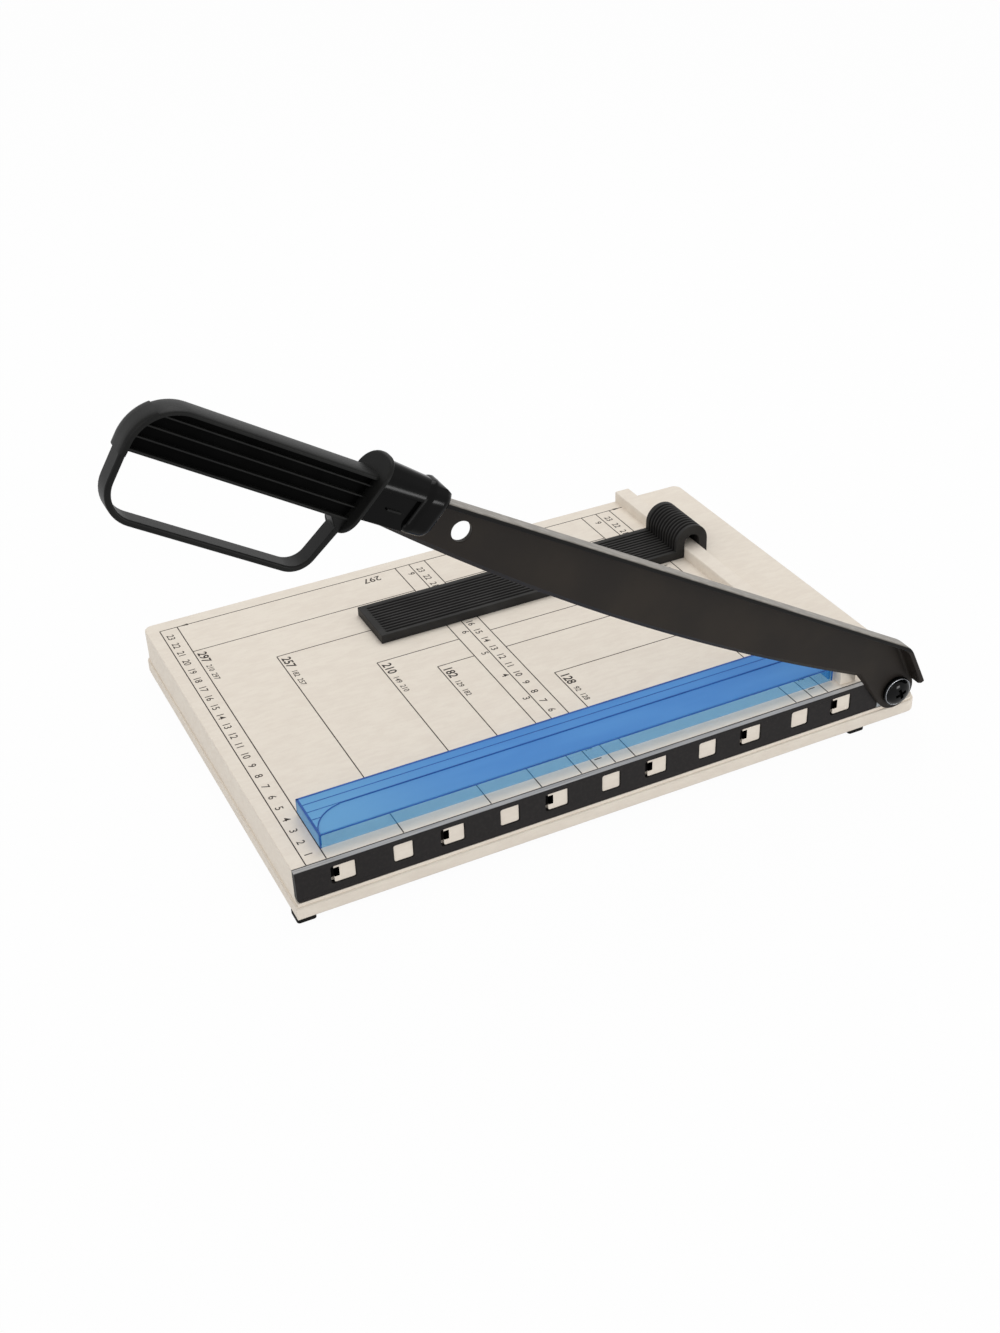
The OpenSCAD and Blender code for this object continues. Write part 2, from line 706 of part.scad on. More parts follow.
// Tube along the spring's route, six-sided
module coil() {
    sides = 6;
    rings = [for (p = spring_route)
        let (climb = atan2(spring_rise, 2 * PI * spring_r * spring_turns))
        for (s = [0 : sides - 1])
            let (
                a = 360 * s / sides,
                ended = p[1] == 0 || p[1] == spring_l,
                out = spring_r + spring_wire / 2 * cos(a),
                side = spring_wire / 2 * sin(a),
                lie = ended ? 90 : climb
            )
            [out * cos(p[0]) - side * sin(lie) * -sin(p[0]), out * sin(p[0]) - side * sin(lie) * cos(p[0]),
                p[1] + side * cos(lie)]];
    count = len(spring_route);
    skin = [for (k = [0 : count - 2], s = [0 : sides - 1])
        let (a = k * sides + s, b = k * sides + (s + 1) % sides)
        each [[a, b, a + sides], [b, b + sides, a + sides]]];
    ends = [[for (s = [0 : sides - 1]) sides - 1 - s], [for (s = [0 : sides - 1]) (count - 1) * sides + s]];
    polyhedron(points = rings, faces = concat(skin, ends), convexity = 8);
}

module press_springs() color(steel) part_frame()
    for (at = pin_at)
        translate([at[0], at[1], -pocket_depth + spring_seat]) coil();

// Back of the blade and hood as an open path, drawn inwards by inset
function back_path(inset) =
    let (
        reach = tail_r + hood_step + blade_t - inset,
        top = blade_back - inset,
        corner = [(cos(hood_angle) * top - reach) / sin(hood_angle), top],
        foot = reach * hood_n
    )
    concat([[blade_end, top]], corner_arc([blade_end, top], corner, foot, hood_r - inset, 10), [foot]);
function backwards(pts) = [for (i = [len(pts) - 1 : -1 : 0]) pts[i]];

// Steel arm: a plate with a convex bevelled edge, and a flange along its back that becomes the hood
module blade() color(charcoal) part_frame() blade_frame() difference() {
    union() {
        intersection() {
            along_y(blade_y0, blade_y1)
                translate([heel.x - over, -edge_drop - over])
                    square([blade_end - heel.x + over, blade_back + edge_drop + over]);
            translate([edge_mid, blade_y1, edge_r - edge_drop]) rotate([90, 0, 0])
                cylinder(h = blade_t, r1 = edge_r, r2 = edge_r - bevel_h, $fn = 900);
        }
        along_y(blade_y0, blade_y1) {
            circle(tail_r);
            polygon(concat([heel, [heel.x, blade_back]], [for (p = back_path(0)) if (p.x < heel.x) p],
                [[0, 0], tail_r * [cos(heel_tangent), sin(heel_tangent)]]));
        }
        along_y(flange_y0, blade_y1) polygon(concat(back_path(0), backwards(back_path(blade_t))));
    }
    rod_y(0, 0, shoulder_r + turn_play, blade_y0 - over, blade_y1 + over);
    rod_y(hang_at[0], hang_at[1], hang_r, blade_y0 - over, blade_y1 + over);
    for (u = handle_screw_u)
        rod_y(u, handle_screw_w, handle_screw_r + screw_play, blade_y0 - over, blade_y1 + over);
}

// The grip and its loop rise a little from the blade's back
module grip_frame() {
    translate([collar_u, 0, 0]) rotate([0, -grip_tilt, 0]) translate([-collar_u, 0, 0]) children();
}

// Plan drawn from u0 in u and y, drawn up and down along the collar's lean
module leaning_plan(u0) {
    tall = 4 * collar_top;
    translate([u0, 0, lean_w]) rotate([0, -collar_lean, 0]) translate([0, 0, -tall / 2])
        linear_extrude(tall) children();
}

// Everything between two planes that lean like the collar
module leaning(u0, u1) {
    leaning_plan(u0) translate([0, -2 * collar_top]) square([(u1 - u0) * cos(collar_lean), 4 * collar_top]);
}

// Section of the sleeve, drawn in y and w
module sleeve_section(half, low, top, r) {
    translate([neck_y, (low + top) / 2]) round_rect(2 * half, top - low, r);
}

// Thumb pad that stands out from the grip's round corner
module grip_pad_plan() {
    far = 2 * grip_corner_r;
    translate([grip_u1 - grip_corner_r, grip_top - grip_corner_r]) intersection() {
        difference() {
            circle(grip_corner_r + grip_pad);
            circle(grip_corner_r - over);
        }
        polygon([[0, 0], for (i = [0 : 2])
            let (a = grip_pad_arc[0] + (grip_pad_arc[1] - grip_pad_arc[0]) * i / 2)
            far * [cos(a), sin(a)]]);
    }
}

// Grip with a rim around recessed ribbed sides
module grip() {
    side = grip_w / 2;
    outline = [[collar_u - 20, grip_top, 0], [grip_u1, grip_top, grip_corner_r], [grip_u1, grip_low, 0],
        [collar_u - 20, grip_low, 0]];
    recess = [[collar_u - 30, grip_top - grip_rim, 0],
        [grip_u1 - grip_rim, grip_top - grip_rim, grip_corner_r - grip_rim],
        [grip_u1 - grip_rim, grip_low + grip_rim / 2, 0], [collar_u - 30, grip_low + grip_rim / 2, 0]];
    step = (grip_top - grip_low - grip_rim * 1.5) / (grip_ribs + 1);
    intersection() {
        grip_frame() {
            along_y(neck_y - side + grip_recess, neck_y + side - grip_recess) polygon(rounded(outline));
            along_y(neck_y - side, neck_y + side) difference() {
                polygon(rounded(outline));
                polygon(rounded(recess));
            }
            along_y(neck_y - side, neck_y + side) grip_pad_plan();
            along_y(neck_y - side + grip_rib_inset, neck_y + side - grip_rib_inset) intersection() {
                polygon(rounded(outline));
                for (i = [1 : grip_ribs])
                    translate([collar_u - 20, grip_low + grip_rim / 2 + i * step - grip_rib_t / 2])
                        square([2 * grip_l, grip_rib_t]);
            }
        }
        leaning(collar_u + collar_t / 2, collar_u + 2 * grip_l);
    }
}

// Finger loop: a strap from the grip's end, under the hand, up to the collar
module finger_loop() {
    foot = [loop_post_u, -loop_drop];
    head = foot + loop_post_rise;
    outer = [[head.x, head.y, 0], [grip_u1, head.y, 0], [grip_u1, -loop_drop, loop_corner_r],
        [foot.x, foot.y, loop_post_r]];
    inner = [[head.x + loop_post_t, head.y + over, 0], [grip_u1 - loop_t, head.y + over, 0],
        [grip_u1 - loop_t, loop_t - loop_drop, loop_corner_r - loop_t],
        [foot.x + loop_post_t, loop_t - loop_drop, loop_post_r - loop_t]];
    grip_frame() along_y(loop_y - loop_w / 2, loop_y + loop_w / 2) difference() {
        polygon(rounded(outer));
        polygon(rounded(inner));
    }
}

// Sleeve over the blade: a round-ended boss, a body cored out in front, and the collar at the grip
module neck() {
    reach = 3 * neck_l;
    front = neck_y - neck_half;
    boss_u = neck_u + boss_l;
    boss_d = boss_l * cos(collar_lean);
    difference() {
        intersection() {
            along_x(neck_u - reach, collar_u + reach) sleeve_section(neck_half, neck_low, neck_top, section_r);
            leaning(neck_u + boss_l / 2, collar_u + collar_t / 2);
        }
        intersection() {
            leaning(boss_u - over, collar_u + over);
            block([neck_u, collar_u + reach], [front - over, front + neck_pocket_d], [-over, neck_pocket_top]);
        }
    }
    intersection() {
        leaning(boss_u - over, boss_u + neck_rib_l);
        block([neck_u, collar_u], [front + neck_pocket_d - neck_rib_d, front + neck_pocket_d + over], neck_rib_w);
    }
    difference() {
        intersection() {
            along_x(neck_u - reach, collar_u + reach) sleeve_section(boss_half, neck_low, boss_top, section_r);
            leaning_plan(neck_u) polygon(rounded([[0, neck_y - boss_half, boss_end_r],
                [boss_d, neck_y - boss_half, boss_edge_r], [boss_d, neck_y + boss_half, boss_edge_r],
                [0, neck_y + boss_half, boss_end_r]]));
        }
        translate([neck_u + 4, neck_y - reach / 2, boss_top]) rotate([0, -boss_slope, 0])
            translate([-reach, 0, 0]) cube([reach, reach, reach]);
    }
    intersection() {
        along_x(collar_u - reach, collar_u + reach)
            sleeve_section(collar_half, collar_low, collar_top, section_r + collar_half - neck_half);
        leaning(collar_u, collar_u + collar_t);
    }
}

// Slot of the neck that takes the blade's plate and flange
module blade_slot() {
    start = neck_u - neck_l;
    end = blade_end + blade_fit;
    block([start, end], [blade_y0 - blade_fit, blade_y1 + blade_fit], [-edge_drop, blade_back + blade_fit]);
    block([start, end], [flange_y0 - blade_fit, blade_y1 + blade_fit],
        [blade_back - blade_t - blade_fit, blade_back + blade_fit]);
}

module handle() color(black) part_frame() blade_frame() difference() {
    union() {
        grip();
        finger_loop();
        neck();
    }
    blade_slot();
    for (u = handle_screw_u) {
        rod_y(u, handle_screw_w, handle_screw_r + screw_play, handle_screw_y, back_y + over);
        rod_y(u, handle_screw_w, handle_head_r + screw_play, back_y - handle_head_h, back_y + 3 * over);
    }
}

module handle_screws() color(steel) part_frame() blade_frame()
    for (u = handle_screw_u) {
        rod_y(u, handle_screw_w, handle_head_r, back_y - handle_head_h, back_y - 0.1);
        rod_y(u, handle_screw_w, handle_screw_r, handle_screw_y + screw_play, back_y - handle_head_h + over / 2);
    }

deck();
tray();
feet();
tray_screws();
fixed_blade();
fixed_blade_screws();
fence_rail();
fence_screws();
pivot_bracket();
bracket_screws();
pivot_bolt();
pivot_washer();
pivot_spring_washers();
pivot_nut();
paper_stop();
press_bar();
press_pins();
press_springs();
blade();
handle();
handle_screws();
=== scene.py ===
import json
import math

import bmesh
import bpy
from mathutils import Matrix, Vector


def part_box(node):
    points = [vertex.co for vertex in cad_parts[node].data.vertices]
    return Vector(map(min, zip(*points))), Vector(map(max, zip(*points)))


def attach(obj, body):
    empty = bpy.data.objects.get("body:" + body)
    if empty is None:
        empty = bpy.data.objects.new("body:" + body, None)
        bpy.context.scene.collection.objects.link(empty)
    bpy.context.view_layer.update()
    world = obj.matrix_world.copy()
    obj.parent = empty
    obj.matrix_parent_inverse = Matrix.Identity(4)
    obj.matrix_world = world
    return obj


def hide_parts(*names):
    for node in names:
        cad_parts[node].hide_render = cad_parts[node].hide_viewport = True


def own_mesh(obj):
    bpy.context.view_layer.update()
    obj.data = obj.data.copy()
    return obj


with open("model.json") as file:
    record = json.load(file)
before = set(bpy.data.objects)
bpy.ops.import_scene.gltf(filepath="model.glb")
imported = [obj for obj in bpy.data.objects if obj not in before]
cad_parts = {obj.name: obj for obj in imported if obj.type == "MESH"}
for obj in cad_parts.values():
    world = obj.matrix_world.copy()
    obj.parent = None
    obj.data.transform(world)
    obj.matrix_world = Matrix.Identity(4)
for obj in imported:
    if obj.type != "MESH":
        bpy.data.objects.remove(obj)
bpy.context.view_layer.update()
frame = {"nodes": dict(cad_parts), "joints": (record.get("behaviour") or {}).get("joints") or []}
nodes = frame["nodes"]
scene = bpy.context.scene
mm = 0.001
print("frame loaded:", len(nodes), "nodes")

# Board frame in millimetres: x from the fence face, y from the cut line, z from the board's top
boardZero = Vector((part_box("fence_rail")[0].x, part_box("fixed_blade")[0].y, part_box("deck")[1].z))
hinge = next(joint for joint in frame["joints"] if joint["name"] == "blade_hinge")
pivot = Vector(hinge["pos_m"])
restAngle = math.radians(30.6)
alongBlade = Vector((-math.cos(restAngle), 0, math.sin(restAngle)))
overBlade = Vector((math.sin(restAngle), 0, math.cos(restAngle)))


def onBoard(x, y, z):
    return boardZero + Vector((x, y, z)) * mm


def alongY(x, z, depth):
    return onBoard(x, depth, z)


def onBlade(u, w, y):
    # u runs from the pivot to the handle, w is square to the blade's back
    flat = Vector((pivot.x, boardZero.y + y * mm, pivot.z))
    return flat + (alongBlade * u + overBlade * w) * mm


def tint(red, green, blue):
    # screen levels to the linear colour that a socket takes
    shares = [c / 255 for c in (red, green, blue)]
    return tuple(((c + 0.055) / 1.055) ** 2.4 if c > 0.04 else c / 12.92 for c in shares) + (1,)


def link(name, data):
    made = bpy.data.objects.new(name, data)
    scene.collection.objects.link(made)
    return made


class Wire:
    def __init__(self, finish, socket):
        self.finish = finish
        self.socket = socket

    def maths(self, operation, first, second):
        return self.finish.node("Math", {"operation": operation}, {0: first, 1: second})

    def __add__(self, other):
        return self.maths("ADD", self, other)

    def __radd__(self, other):
        return self.maths("ADD", other, self)

    def __sub__(self, other):
        return self.maths("SUBTRACT", self, other)

    def __rsub__(self, other):
        return self.maths("SUBTRACT", other, self)

    def __mul__(self, other):
        return self.maths("MULTIPLY", self, other)

    def __rmul__(self, other):
        return self.maths("MULTIPLY", other, self)

    def __truediv__(self, other):
        return self.maths("DIVIDE", self, other)

    def __rtruediv__(self, other):
        return self.maths("DIVIDE", other, self)


class Finish:
    def __init__(self, name, holder=None):
        self.holder = holder or bpy.data.materials.new(name)
        self.holder.use_nodes = True
        self.tree = self.holder.node_tree
        self.tree.nodes.clear()

    def node(self, kind, settings, sockets, out=0):
        made = self.tree.nodes.new("ShaderNode" + kind)
        for key, value in settings.items():
            setattr(made, key, value)
        for key, value in sockets.items():
            if isinstance(value, Wire):
                self.tree.links.new(value.socket, made.inputs[key])
            else:
                made.inputs[key].default_value = value
        return Wire(self, made.outputs[out]) if made.outputs else None

    def place(self):
        return self.node("TexCoord", {}, {}, "Object")

    def axes(self, vector):
        return [self.node("SeparateXYZ", {}, {0: vector}, axis) for axis in range(3)]

    def noise(self, vector, scale, detail=3, stretch=(1, 1, 1)):
        drawn = self.node("VectorMath", {"operation": "MULTIPLY"}, {0: vector, 1: stretch})
        return self.node("TexNoise", {}, {"Vector": drawn, "Scale": scale, "Detail": detail}, 0)

    def step(self, value, low, high):
        span = {"Value": value, "From Min": low, "From Max": high}
        return self.node("MapRange", {"interpolation_type": "SMOOTHSTEP"}, span)

    def over(self, value, zero, span):
        # climbs from 0 to 1 across a span of millimetres that is counted from zero
        return self.step(value, zero + span[0] * mm, zero + span[1] * mm)

    def mix(self, share, first, second):
        return self.node("Mix", {"data_type": "RGBA"}, {0: share, 6: first, 7: second}, 2)

    def bump(self, height, strength, depth):
        relief = {"Strength": strength, "Distance": depth * mm, "Height": height}
        return self.node("Bump", {}, relief, "Normal")

    def solid(self, sockets):
        return self.node("BsdfPrincipled", {}, sockets)

    def close(self, surface):
        self.node("OutputMaterial", {}, {0: surface})
        return self.holder


# Finishes

def creamShell():
    look = {"low": tint(228, 218, 205), "high": tint(233, 224, 211), "speck": tint(210, 199, 184)}
    f = Finish("cream_shell")
    place = f.place()
    streak = f.noise(place, 420, 3, (0.3, 1, 1))
    cloud = f.noise(place, 150, 2, (0.5, 1, 1))
    grain = f.noise(place, 900, 4)
    tone = f.step(cloud * 0.5 + streak * 0.5, 0.35, 0.65)
    base = f.mix(tone, look["low"], look["high"])
    flecked = f.mix(f.step(grain, 0.55, 0.75) * 0.16, base, look["speck"])
    return f.close(f.solid({
        "Base Color": flecked,
        "Roughness": 0.46 + grain * 0.2,
        "Specular IOR Level": 0.18,
        "Normal": f.bump(grain, 0.18, 0.08),
    }))


def boardInk():
    f = Finish("board_ink")
    place = f.place()
    patch = f.noise(place, 420, 3)
    return f.close(f.solid({
        "Base Color": f.mix(f.step(patch, 0.35, 0.7), tint(44, 38, 34), tint(70, 62, 56)),
        "Roughness": 0.55 + patch * 0.15,
        "Specular IOR Level": 0.2,
    }))


def stripSteel():
    look = {
        "paint": tint(34, 32, 32), "worn": tint(46, 43, 42),
        "ground": tint(176, 174, 172), "line": tint(148, 147, 146),
        "groundZ": (-0.55, -0.3), "groundY": (0.45, 0.7), "seamY": (3.3, 3.5),
    }
    f = Finish("strip_steel")
    place = f.place()
    y, z = f.axes(place)[1:]
    # bare steel on top only, from the front corner to the seam with the board
    onTop = f.over(y, boardZero.y, look["groundY"])
    seam = f.over(y, boardZero.y, look["seamY"])
    ground = f.over(z, boardZero.z, look["groundZ"]) * onTop * (1 - seam)
    lines = f.noise(place, 900, 3, (0.03, 1.6, 1))
    grain = f.noise(place, 600, 4)
    paint = f.mix(f.step(grain, 0.4, 0.75) * 0.5, look["paint"], look["worn"])
    steel = f.mix(f.step(lines, 0.35, 0.65), look["line"], look["ground"])
    return f.close(f.solid({
        "Base Color": f.mix(ground, paint, steel),
        "Metallic": ground * 0.15,
        "Roughness": 0.5 - ground * 0.08 + grain * 0.08,
        "Specular IOR Level": 0.12,
        "Normal": f.bump(lines * ground + grain * (1 - ground) * 0.5, 0.15, 0.06),
    }))


def bladeSteel():
    look = {
        "paint": tint(36, 32, 29), "warm": tint(43, 38, 33), "lipShade": tint(13, 12, 11),
        "back": tint(132, 127, 120), "paintedSheenRub": tint(156, 151, 144),
        "lipShadeW": (24.9, 25.3), "paintedSheenW": (26.9, 27.5), "paintedSheenU": (6, 24),
    }
    f = Finish("blade_steel")
    place = f.place()
    x, z = f.axes(place)[::2]
    across = (x - pivot.x) * overBlade.x + (z - pivot.z) * overBlade.z
    along = (x - pivot.x) * alongBlade.x + (z - pivot.z) * alongBlade.z
    # painted reflection: the flange top near the hood is painted light grey, with a rubbed steel
    # grain, for the sheen of the bright surroundings on it
    paintedSheen = f.over(across, 0, look["paintedSheenW"]) * f.over(along, 0, look["paintedSheenU"])
    cloud = f.noise(place, 26, 3)
    roll = f.noise(place, 420, 4, (0.3, 1, 0.6))
    grain = f.noise(place, 900, 3)
    paint = f.mix(f.step(cloud, 0.35, 0.68), look["paint"], look["warm"])
    # painted shade: from w 25.3 up, over the flange and its front edge, the paint turns near-black
    lipShaded = f.mix(f.over(across, 0, look["lipShadeW"]), paint, look["lipShade"])
    paintedSheenRubbed = f.mix(f.step(roll, 0.4, 0.7), look["back"], look["paintedSheenRub"])
    return f.close(f.solid({
        "Base Color": f.mix(paintedSheen, lipShaded, paintedSheenRubbed),
        "Metallic": paintedSheen * 0.4,
        "Roughness": 0.42 - paintedSheen * 0.06 + roll * 0.1,
        "Specular IOR Level": 0.12,
        "Normal": f.bump(grain * 0.6 + roll * 0.4, 0.14, 0.05),
    }))


def blackPlastic(name, dark, light, shine, rough, relief=0.16):
    f = Finish(name)
    place = f.place()
    cloud = f.noise(place, 55, 3)
    grain = f.noise(place, 1400, 3)
    return f.close(f.solid({
        "Base Color": f.mix(f.step(cloud, 0.35, 0.68), dark, light),
        "Roughness": rough + grain * 0.12,
        "Specular IOR Level": shine,
        "Normal": f.bump(grain, relief, 0.05),
    }))


def bluePlastic():
    look = {
        "top": tint(76, 140, 205), "deep": tint(66, 130, 199), "paintedLightPale": tint(99, 159, 206),
        "paintedLightX": (-310, -190), "through": (0.9, 0.93, 1, 1), "inShade": 0.92, "inBounce": 0.85,
    }
    f = Finish("blue_plastic")
    place = f.place()
    # painted light: the far end of the bar's top is painted paler, standing in for more light falling
    # there
    inner = f.over(f.axes(place)[0], boardZero.x, look["paintedLightX"])  # paler far from the pivot
    cloud = f.noise(place, 45, 3, (0.3, 1, 1))
    grain = f.noise(place, 700, 3)
    full = f.mix(f.step(cloud, 0.3, 0.7), look["top"], look["deep"])
    body = f.solid({
        "Base Color": f.mix(inner, look["paintedLightPale"], full),
        "Roughness": 0.3 + grain * 0.1,
        "Specular IOR Level": 0.16,
        "Alpha": 0.95 - cloud * 0.06,
    })
    glow = f.node("BsdfTransparent", {}, {"Color": look["through"]})
    shade = f.node("LightPath", {}, {}, "Is Shadow Ray")
    bounce = f.node("LightPath", {}, {}, "Is Diffuse Ray")
    share = shade * look["inShade"] + bounce * look["inBounce"]
    return f.close(f.node("MixShader", {}, {0: share, 1: body, 2: glow}))


def clearBlue():
    look = {"body": tint(78, 158, 212), "through": (0.76, 0.94, 1, 1)}
    f = Finish("clear_blue")
    place = f.place()
    cloud = f.noise(place, 60, 3, (0.3, 1, 1))
    body = f.solid({
        "Base Color": look["body"],
        "Roughness": 0.18 + cloud * 0.1,
        "Specular IOR Level": 0.3,
    })
    glow = f.node("BsdfTransparent", {}, {"Color": look["through"]})
    return f.close(f.node("MixShader", {}, {0: 0.2 + cloud * 0.08, 1: glow, 2: body}))


# deeper blue for the bar's seams, rims and corners: painted shade
def edgeBlue():
    f = Finish("edge_blue_painted_shade")
    place = f.place()
    cloud = f.noise(place, 160, 3, (0.3, 1, 1))
    return f.close(f.solid({
        "Base Color": f.mix(f.step(cloud, 0.3, 0.7), tint(26, 76, 150), tint(36, 90, 166)),
        "Roughness": 0.25 + cloud * 0.15,
        "Specular IOR Level": 0.2,
    }))


def bareSteel(name, light, dark, rough):
    f = Finish(name)
    place = f.place()
    turned = f.noise(place, 1300, 4, (1, 0.2, 1))
    return f.close(f.solid({
        "Base Color": f.mix(f.step(turned, 0.35, 0.68), dark, light),
        "Metallic": 0.8,
        "Roughness": rough + turned * 0.15,
        "Normal": f.bump(turned, 0.12, 0.04),
    }))


def footRubber():
    f = Finish("foot_rubber")
    place = f.place()
    grain = f.noise(place, 900, 4)
    return f.close(f.solid({
        "Base Color": f.mix(f.step(grain, 0.35, 0.7), tint(14, 14, 14), tint(26, 25, 24)),
        "Roughness": 0.75 + grain * 0.15,
        "Specular IOR Level": 0.15,
        "Normal": f.bump(grain, 0.3, 0.1),
    }))


finishes = {
    "cream": creamShell(),
    "ink": boardInk(),
    "strip": stripSteel(),
    "blade": bladeSteel(),
    "grip": blackPlastic("grip_black", tint(15, 15, 15), tint(22, 22, 21), 0.13, 0.38),
    "neck": blackPlastic("neck_black", tint(2, 2, 2), tint(5, 5, 5), 0.1, 0.13, 0.03),
    # the grip's recessed panel: the same plastic painted darker and duller, as painted shade of the
    # recess
    "panel": blackPlastic("panel_black_painted_shade", tint(5, 5, 5), tint(9, 9, 9), 0.02, 0.5),
    "bolt": blackPlastic("bolt_black", tint(6, 6, 7), tint(10, 10, 11), 0.13, 0.08, 0.04),
    # the strip's hook tongues, painted far darker than the strip as painted shade of their slots
    "tongue": blackPlastic("tongue_black_painted_shade", tint(6, 5, 5), tint(12, 10, 9), 0.02, 0.6),
    "blue": bluePlastic(),
    "clear": clearBlue(),
    "edge": edgeBlue(),
    "steel": bareSteel("bare_steel", tint(196, 198, 202), tint(150, 153, 158), 0.28),
    "zinc": bareSteel("zinc_plate", tint(178, 183, 186), tint(146, 151, 154), 0.4),
    "rubber": footRubber(),
}
print("finishes made:", len(finishes))


# Outlines and solids

def rounded(corners, steps=8):
    points = []
    for i, (a, b, radius) in enumerate(corners):
        here = Vector((a, b))
        if radius <= 0:
            points.append(here)
            continue
        before = (Vector(corners[i - 1][:2]) - here).normalized()
        after = (Vector(corners[(i + 1) % len(corners)][:2]) - here).normalized()
        half = before.angle(after) / 2
        middle = here + (before + after).normalized() * radius / math.sin(half)
        first = here + before * radius / math.tan(half) - middle
        last = here + after * radius / math.tan(half) - middle
        start = math.atan2(first.y, first.x)
        sweep = (math.atan2(last.y, last.x) - start + 3 * math.pi) % (2 * math.pi) - math.pi
        points += arc(middle, radius, start, start + sweep, steps)
    return points


def arc(middle, radius, start, end, steps):
    turns = [start + (end - start) * k / steps for k in range(steps + 1)]
    return [Vector(middle) + radius * Vector((math.cos(t), math.sin(t))) for t in turns]


def oblong(a0, a1, b0, b1):
    return [Vector(p) for p in ((a0, b0), (a1, b0), (a1, b1), (a0, b1))]


def rectangle(a0, a1, b0, b1, r=0.3, steps=3):
    return rounded([(a0, b0, r), (a1, b0, r), (a1, b1, r), (a0, b1, r)], steps)


def leftward(points):
    # drops doubled points and turns the outline so that its inside is on the left
    kept = [p for i, p in enumerate(points) if (p - points[i - 1]).length > 1e-4]
    doubleArea = sum(p.cross(q) for p, q in zip(kept, kept[1:] + kept[:1]))
    return kept if doubleArea > 0 else kept[::-1]


def inset(points, depth):
    moved = []
    for i, here in enumerate(points):
        before = (here - points[i - 1]).normalized()
        after = (points[(i + 1) % len(points)] - here).normalized()
        side = Vector((-before.y - after.y, before.x + after.x))
        moved.append(here + side * depth / max(1 + before.dot(after), 0.4))
    return moved


def skin(shape, rings, closed=False):
    pairs = list(zip(rings, rings[1:])) + ([(rings[-1], rings[0])] if closed else [])
    for first, second in pairs:
        for i in range(len(first)):
            shape.faces.new((first[i - 1], first[i], second[i], second[i - 1]))


def cover(shape, rings):
    if len(rings) == 1:
        shape.faces.new(rings[0])
        return
    rim = [shape.edges.get((ring[i - 1], ring[i])) for ring in rings for i in range(len(ring))]
    bmesh.ops.triangle_fill(shape, use_beauty=True, edges=rim)


def tube(shape, rings):
    # skin over the rings, with its two ends covered
    skin(shape, rings)
    cover(shape, rings[:1])
    cover(shape, rings[-1:])


def easing(edge, rounds=3):
    # how deep each ring of a rounded rim lies, and how far it is drawn in
    turns = [math.pi / 2 * k / rounds for k in range(rounds + 1)]
    return [(edge * (1 - math.cos(t)), edge * (1 - math.sin(t))) for t in turns]


def prism(shape, outline, low, high, place, edge=0.3, highEdge=None, rounds=3):
    # solid between two depths, with its two rims rounded; place takes (a, b, depth)
    far = edge if highEdge is None else highEdge
    stations = [(low + rise, draw) for rise, draw in easing(edge, rounds)]
    stations += [(high - rise, draw) for rise, draw in reversed(easing(far, rounds))]
    loop = leftward(outline)
    rings = []
    for depth, draw in stations:
        rings.append([shape.verts.new(place(p.x, p.y, depth)) for p in inset(loop, draw)])
    tube(shape, rings)


def lathe(shape, profile, place, steps=72):
    # turned solid; profile is (radius, depth) from one pole to the other
    turns = [2 * math.pi * k / steps for k in range(steps)]
    wheel = [(math.cos(t), math.sin(t)) for t in turns]
    rings = []
    for radius, depth in profile[1:-1]:
        rings.append([shape.verts.new(place(radius * c, radius * s, depth)) for c, s in wheel])
    skin(shape, rings)
    for ring, end in ((rings[0], profile[0]), (rings[-1], profile[-1])):
        pole = shape.verts.new(place(0, 0, end[1]))
        for i in range(steps):
            shape.faces.new((ring[i - 1], ring[i], pole))


def shaped(shape, name):
    bmesh.ops.recalc_face_normals(shape, faces=shape.faces)
    mesh = bpy.data.meshes.new(name)
    shape.to_mesh(mesh)
    shape.free()
    return link(name, mesh)


def applied(holder):
    # the mesh that the holder's modifiers or letters give
    bpy.context.view_layer.update()
    graph = bpy.context.evaluated_depsgraph_get()
    return bpy.data.meshes.new_from_object(holder.evaluated_get(graph))


def carve(piece, cutter):
    # takes the cutter's solid out of the piece, and the cutter out of the scene
    tool = shaped(cutter, "cutter")
    cut = piece.modifiers.new("cut", "BOOLEAN")
    cut.operation = "DIFFERENCE"
    cut.solver = "EXACT"
    cut.object = tool
    made = applied(piece)
    piece.modifiers.remove(cut)
    piece.data = made
    bpy.data.objects.remove(tool)


def smoothOff(piece, degrees=38):
    for face in piece.data.polygons:
        face.use_smooth = True
    piece.data.set_sharp_from_angle(angle=math.radians(degrees))
    even = piece.modifiers.new("shading", "WEIGHTED_NORMAL")
    even.keep_sharp = True


def settle(shape, name, finish, body, node=None, cutter=None):
    piece = shaped(shape, name)
    piece.data.materials.append(finishes[finish])
    if cutter:
        carve(piece, cutter)
    smoothOff(piece)
    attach(piece, body)
    if node:
        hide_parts(node)
    return piece


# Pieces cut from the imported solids, with their outer edges broken

weld = {"near": 0.002, "flat": math.radians(0.3), "bent": math.radians(28), "segments": 3}


